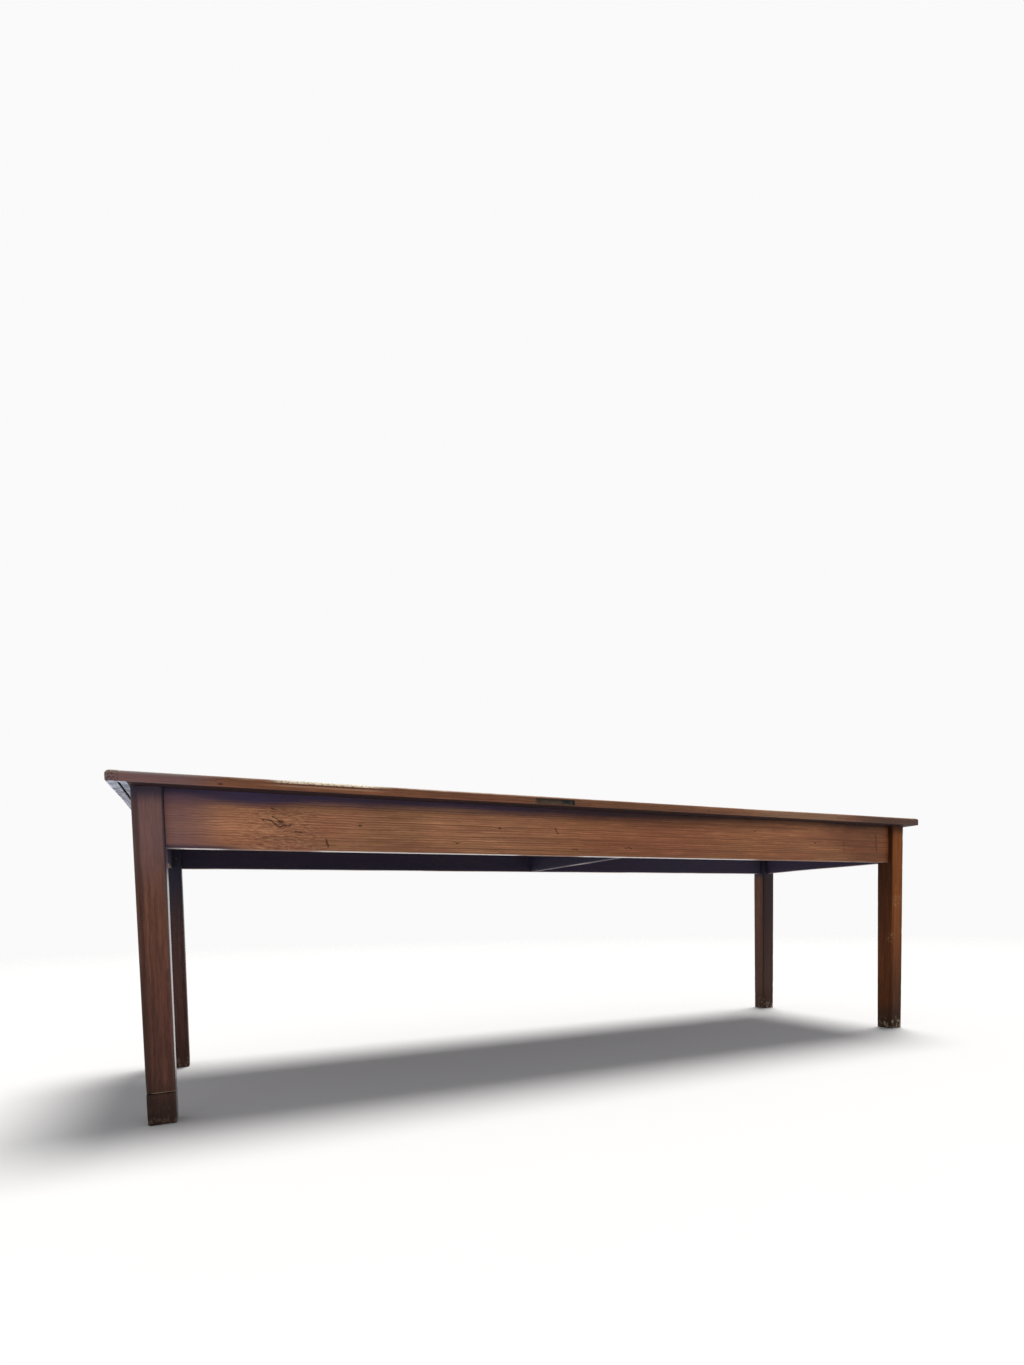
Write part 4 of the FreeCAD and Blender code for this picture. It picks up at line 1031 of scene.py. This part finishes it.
# Each apron is painted with shade under the top and a pale reflection along its lower edge
make_long_apron(
    -1, "front_apron", (-0.26, 0.5), 7.0, 41, marks=front_marks,
    eyes=[((x, -APRON_FACE_Y, z), size * MM) for x, z, size in FRONT_EYES],
    ring=5.5 * MM, wander=9 * MM, waves=0.12, figured=(-0.9, -0.62), dashes=0.18, streaks=0.6,
    rubbed_runs=((-1.155, -1.062), (-0.84, -0.31), (-0.1, 0.56)),
    # the colours of the painted shade and soot under the top, bluish at the left end
    soots=((0.03, 0.024, 0.062), (0.02, 0.007, 0.004)),
)
make_long_apron(
    1, "back_apron", (0.24, 0.9), 8.0, 43, tone=0.9, knots=0.5, ring=5 * MM, wander=12 * MM, waves=0.2,
)
make_end_apron(-1, "left_end_apron", (1.12, 0.7), 9.0, 45, tone=0.9, rubbed_under=0.25)
make_end_apron(1, "right_end_apron", (-1.13, 0.67), 10.0, 47, tone=0.95)
make_cross_rail(apron_timber(
    "cross_rail", "y", (0.1, 0.7), 11.0, ("x", -0.4, -0.2), tone=0.35, rubbed_under=0.45,
))

# The pith of a leg is (y, -x), because its wood runs up
# The legs are painted with shade on their inner faces and under the top, a haze of light on the front left
# leg and light on the front right leg's face
FRONT_LEFT_LOOKS = dict(
    tone=0.88, hue=(1.0, 1.1, 1.25), splice=SPLICE, strip=14 * MM, pale_top=0.55, polish=0.6,
    chips=(0.15, 0.092, 0.068), smoke=(0.032, 0.026, 0.046),
)
make_leg((-1, -1), "front_left_leg", (-0.26, 1.2), 12.0, 61, low=SPLICE, **FRONT_LEFT_LOOKS)
make_leg((-1, -1), "front_left_foot", (-0.27, 1.27), 13.0, 62, high=SPLICE, **FRONT_LEFT_LOOKS)
make_leg(
    (1, -1), "front_right_leg", (-0.25, -1.19), 14.0, 63, tone=1.12, hue=(1, 0.95, 0.6), bright=0.9,
    smoke=(0.04, 0.014, 0.007), strip=5 * MM, chips=(0.4, 0.33, 0.22), arris=0.92, gloss=0.06,
    specks=((1.183, -0.344, 0.345), (1.225, -0.344, 0.478)),
)
make_leg(
    (-1, 1), "back_left_leg", (0.26, 1.2), 15.0, 64, tone=0.92, hue=(0.9, 1.2, 1.6), soil=0.4,
    hood=(0.44, 0.62),
)
make_leg(
    (1, 1), "back_right_leg", (0.27, -1.19), 16.0, 65, tone=0.92, hue=(0.95, 1.1, 1.05), soil=0.4,
    hood=(0.605, 0.632), smoke=(0.019, 0.009, 0.011), smoked=(0.22, 0.92), smoke_from=-0.3,
    chips=(0.36, 0.3, 0.22),
)

# The CAD's own solids that are kept, and what they are made of
for nodes, finish in (
    (("apron_pegs",), inner_timber("peg", "x", 21.0, tone=0.22)),
    (("top_buttons",), inner_timber("button", "x", 22.0)),
    (("board_tongue_1", "board_tongue_2", "board_tongue_3"), inner_timber("tongue", "x", 23.0)),
    (("foot_dowel",), inner_timber("dowel", "z", 24.0)),
    (("button_screws", "edge_plate_screws"), iron("button_screw_iron")),
    (("edge_plate",), old_brass("edge_plate_brass")),
):
    for node in nodes:
        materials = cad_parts[node].data.materials
        materials.clear()
        materials.append(finish)


# Floor, light and camera

def make_floor():
    bm = bmesh.new()
    bmesh.ops.create_grid(bm, x_segments=2, y_segments=2, size=30)
    paint = Surface("pale_floor")
    cloudy = paint.noise(paint.here, (3, 3, 3), 3.0)
    surface = paint.node("ShaderNodeBsdfPrincipled", None, {
        "Base Color": paint.blend(cloudy, (0.84, 0.84, 0.84), (0.85, 0.85, 0.85)),
        "Roughness": 0.9, "Specular IOR Level": 0.0,
    })
    # the floor fades into the backdrop far from the table
    faded = paint.rise(paint.length(paint.here), 4.0, 11.0)
    clear = paint.node("ShaderNodeBsdfTransparent")
    both = paint.node("ShaderNodeMixShader", None, {0: faded, 1: surface, 2: clear})
    paint.node("ShaderNodeOutputMaterial", None, {"Surface": both}, output=None)
    make_object(bm, "floor", paint.owner)


def make_light():
    """A white backdrop that lights the table less than it shows, and a wide soft lamp overhead."""
    scene = bpy.context.scene
    scene.view_settings.view_transform = "Standard"
    scene.world = bpy.data.worlds.new("studio")
    sky = Finish(scene.world)
    seen = sky.node("ShaderNodeBackground", None, {"Color": (0.955, 0.955, 0.955, 1)})
    lit = sky.node("ShaderNodeBackground", None, {"Color": (0.335, 0.335, 0.345, 1)})
    rays = [sky.node("ShaderNodeLightPath", output=f"Is {kind} Ray") for kind in ("Camera", "Glossy")]
    both = sky.node("ShaderNodeMixShader", None, {0: sky.most(*rays), 1: lit, 2: seen})
    sky.node("ShaderNodeOutputWorld", None, {"Surface": both}, output=None)
    lamp = bpy.data.lights.new("soft_overhead", "SUN")
    lamp.energy = 2.95
    lamp.angle = math.radians(25)
    lamp.color = (1.0, 0.985, 0.96)
    sun = bpy.data.objects.new("soft_overhead", lamp)
    sun.rotation_euler = Vector((0.21, 0.133, 0.78)).to_track_quat("Z", "Y").to_euler()
    scene.collection.objects.link(sun)


def make_camera():
    """The photograph's viewing angle: low, in front of the left end, looking along the table."""
    yaw, pitch, roll = 0.4174, -0.0549, -0.0212
    # the focal length and the height of the horizon are in pixels of a frame 1365 pixels high
    frame_height, focal_length, horizon = 1365, 653.2, 951.2
    data = bpy.data.cameras.new("photo_view")
    data.sensor_width = 36
    data.lens = data.sensor_width * focal_length / frame_height
    data.shift_y = (horizon - frame_height / 2) / frame_height
    data.clip_end = 100
    camera = bpy.data.objects.new("photo_view", data)
    camera.matrix_world = (
        Matrix.Translation((-1.085, -1.992, 0.455)) @ Matrix.Rotation(-yaw, 4, "Z")
        @ Matrix.Rotation(math.pi / 2 + pitch, 4, "X") @ Matrix.Rotation(roll, 4, "Z")
    )
    bpy.context.scene.collection.objects.link(camera)
    bpy.context.scene.camera = camera


make_floor()
make_light()
make_camera()
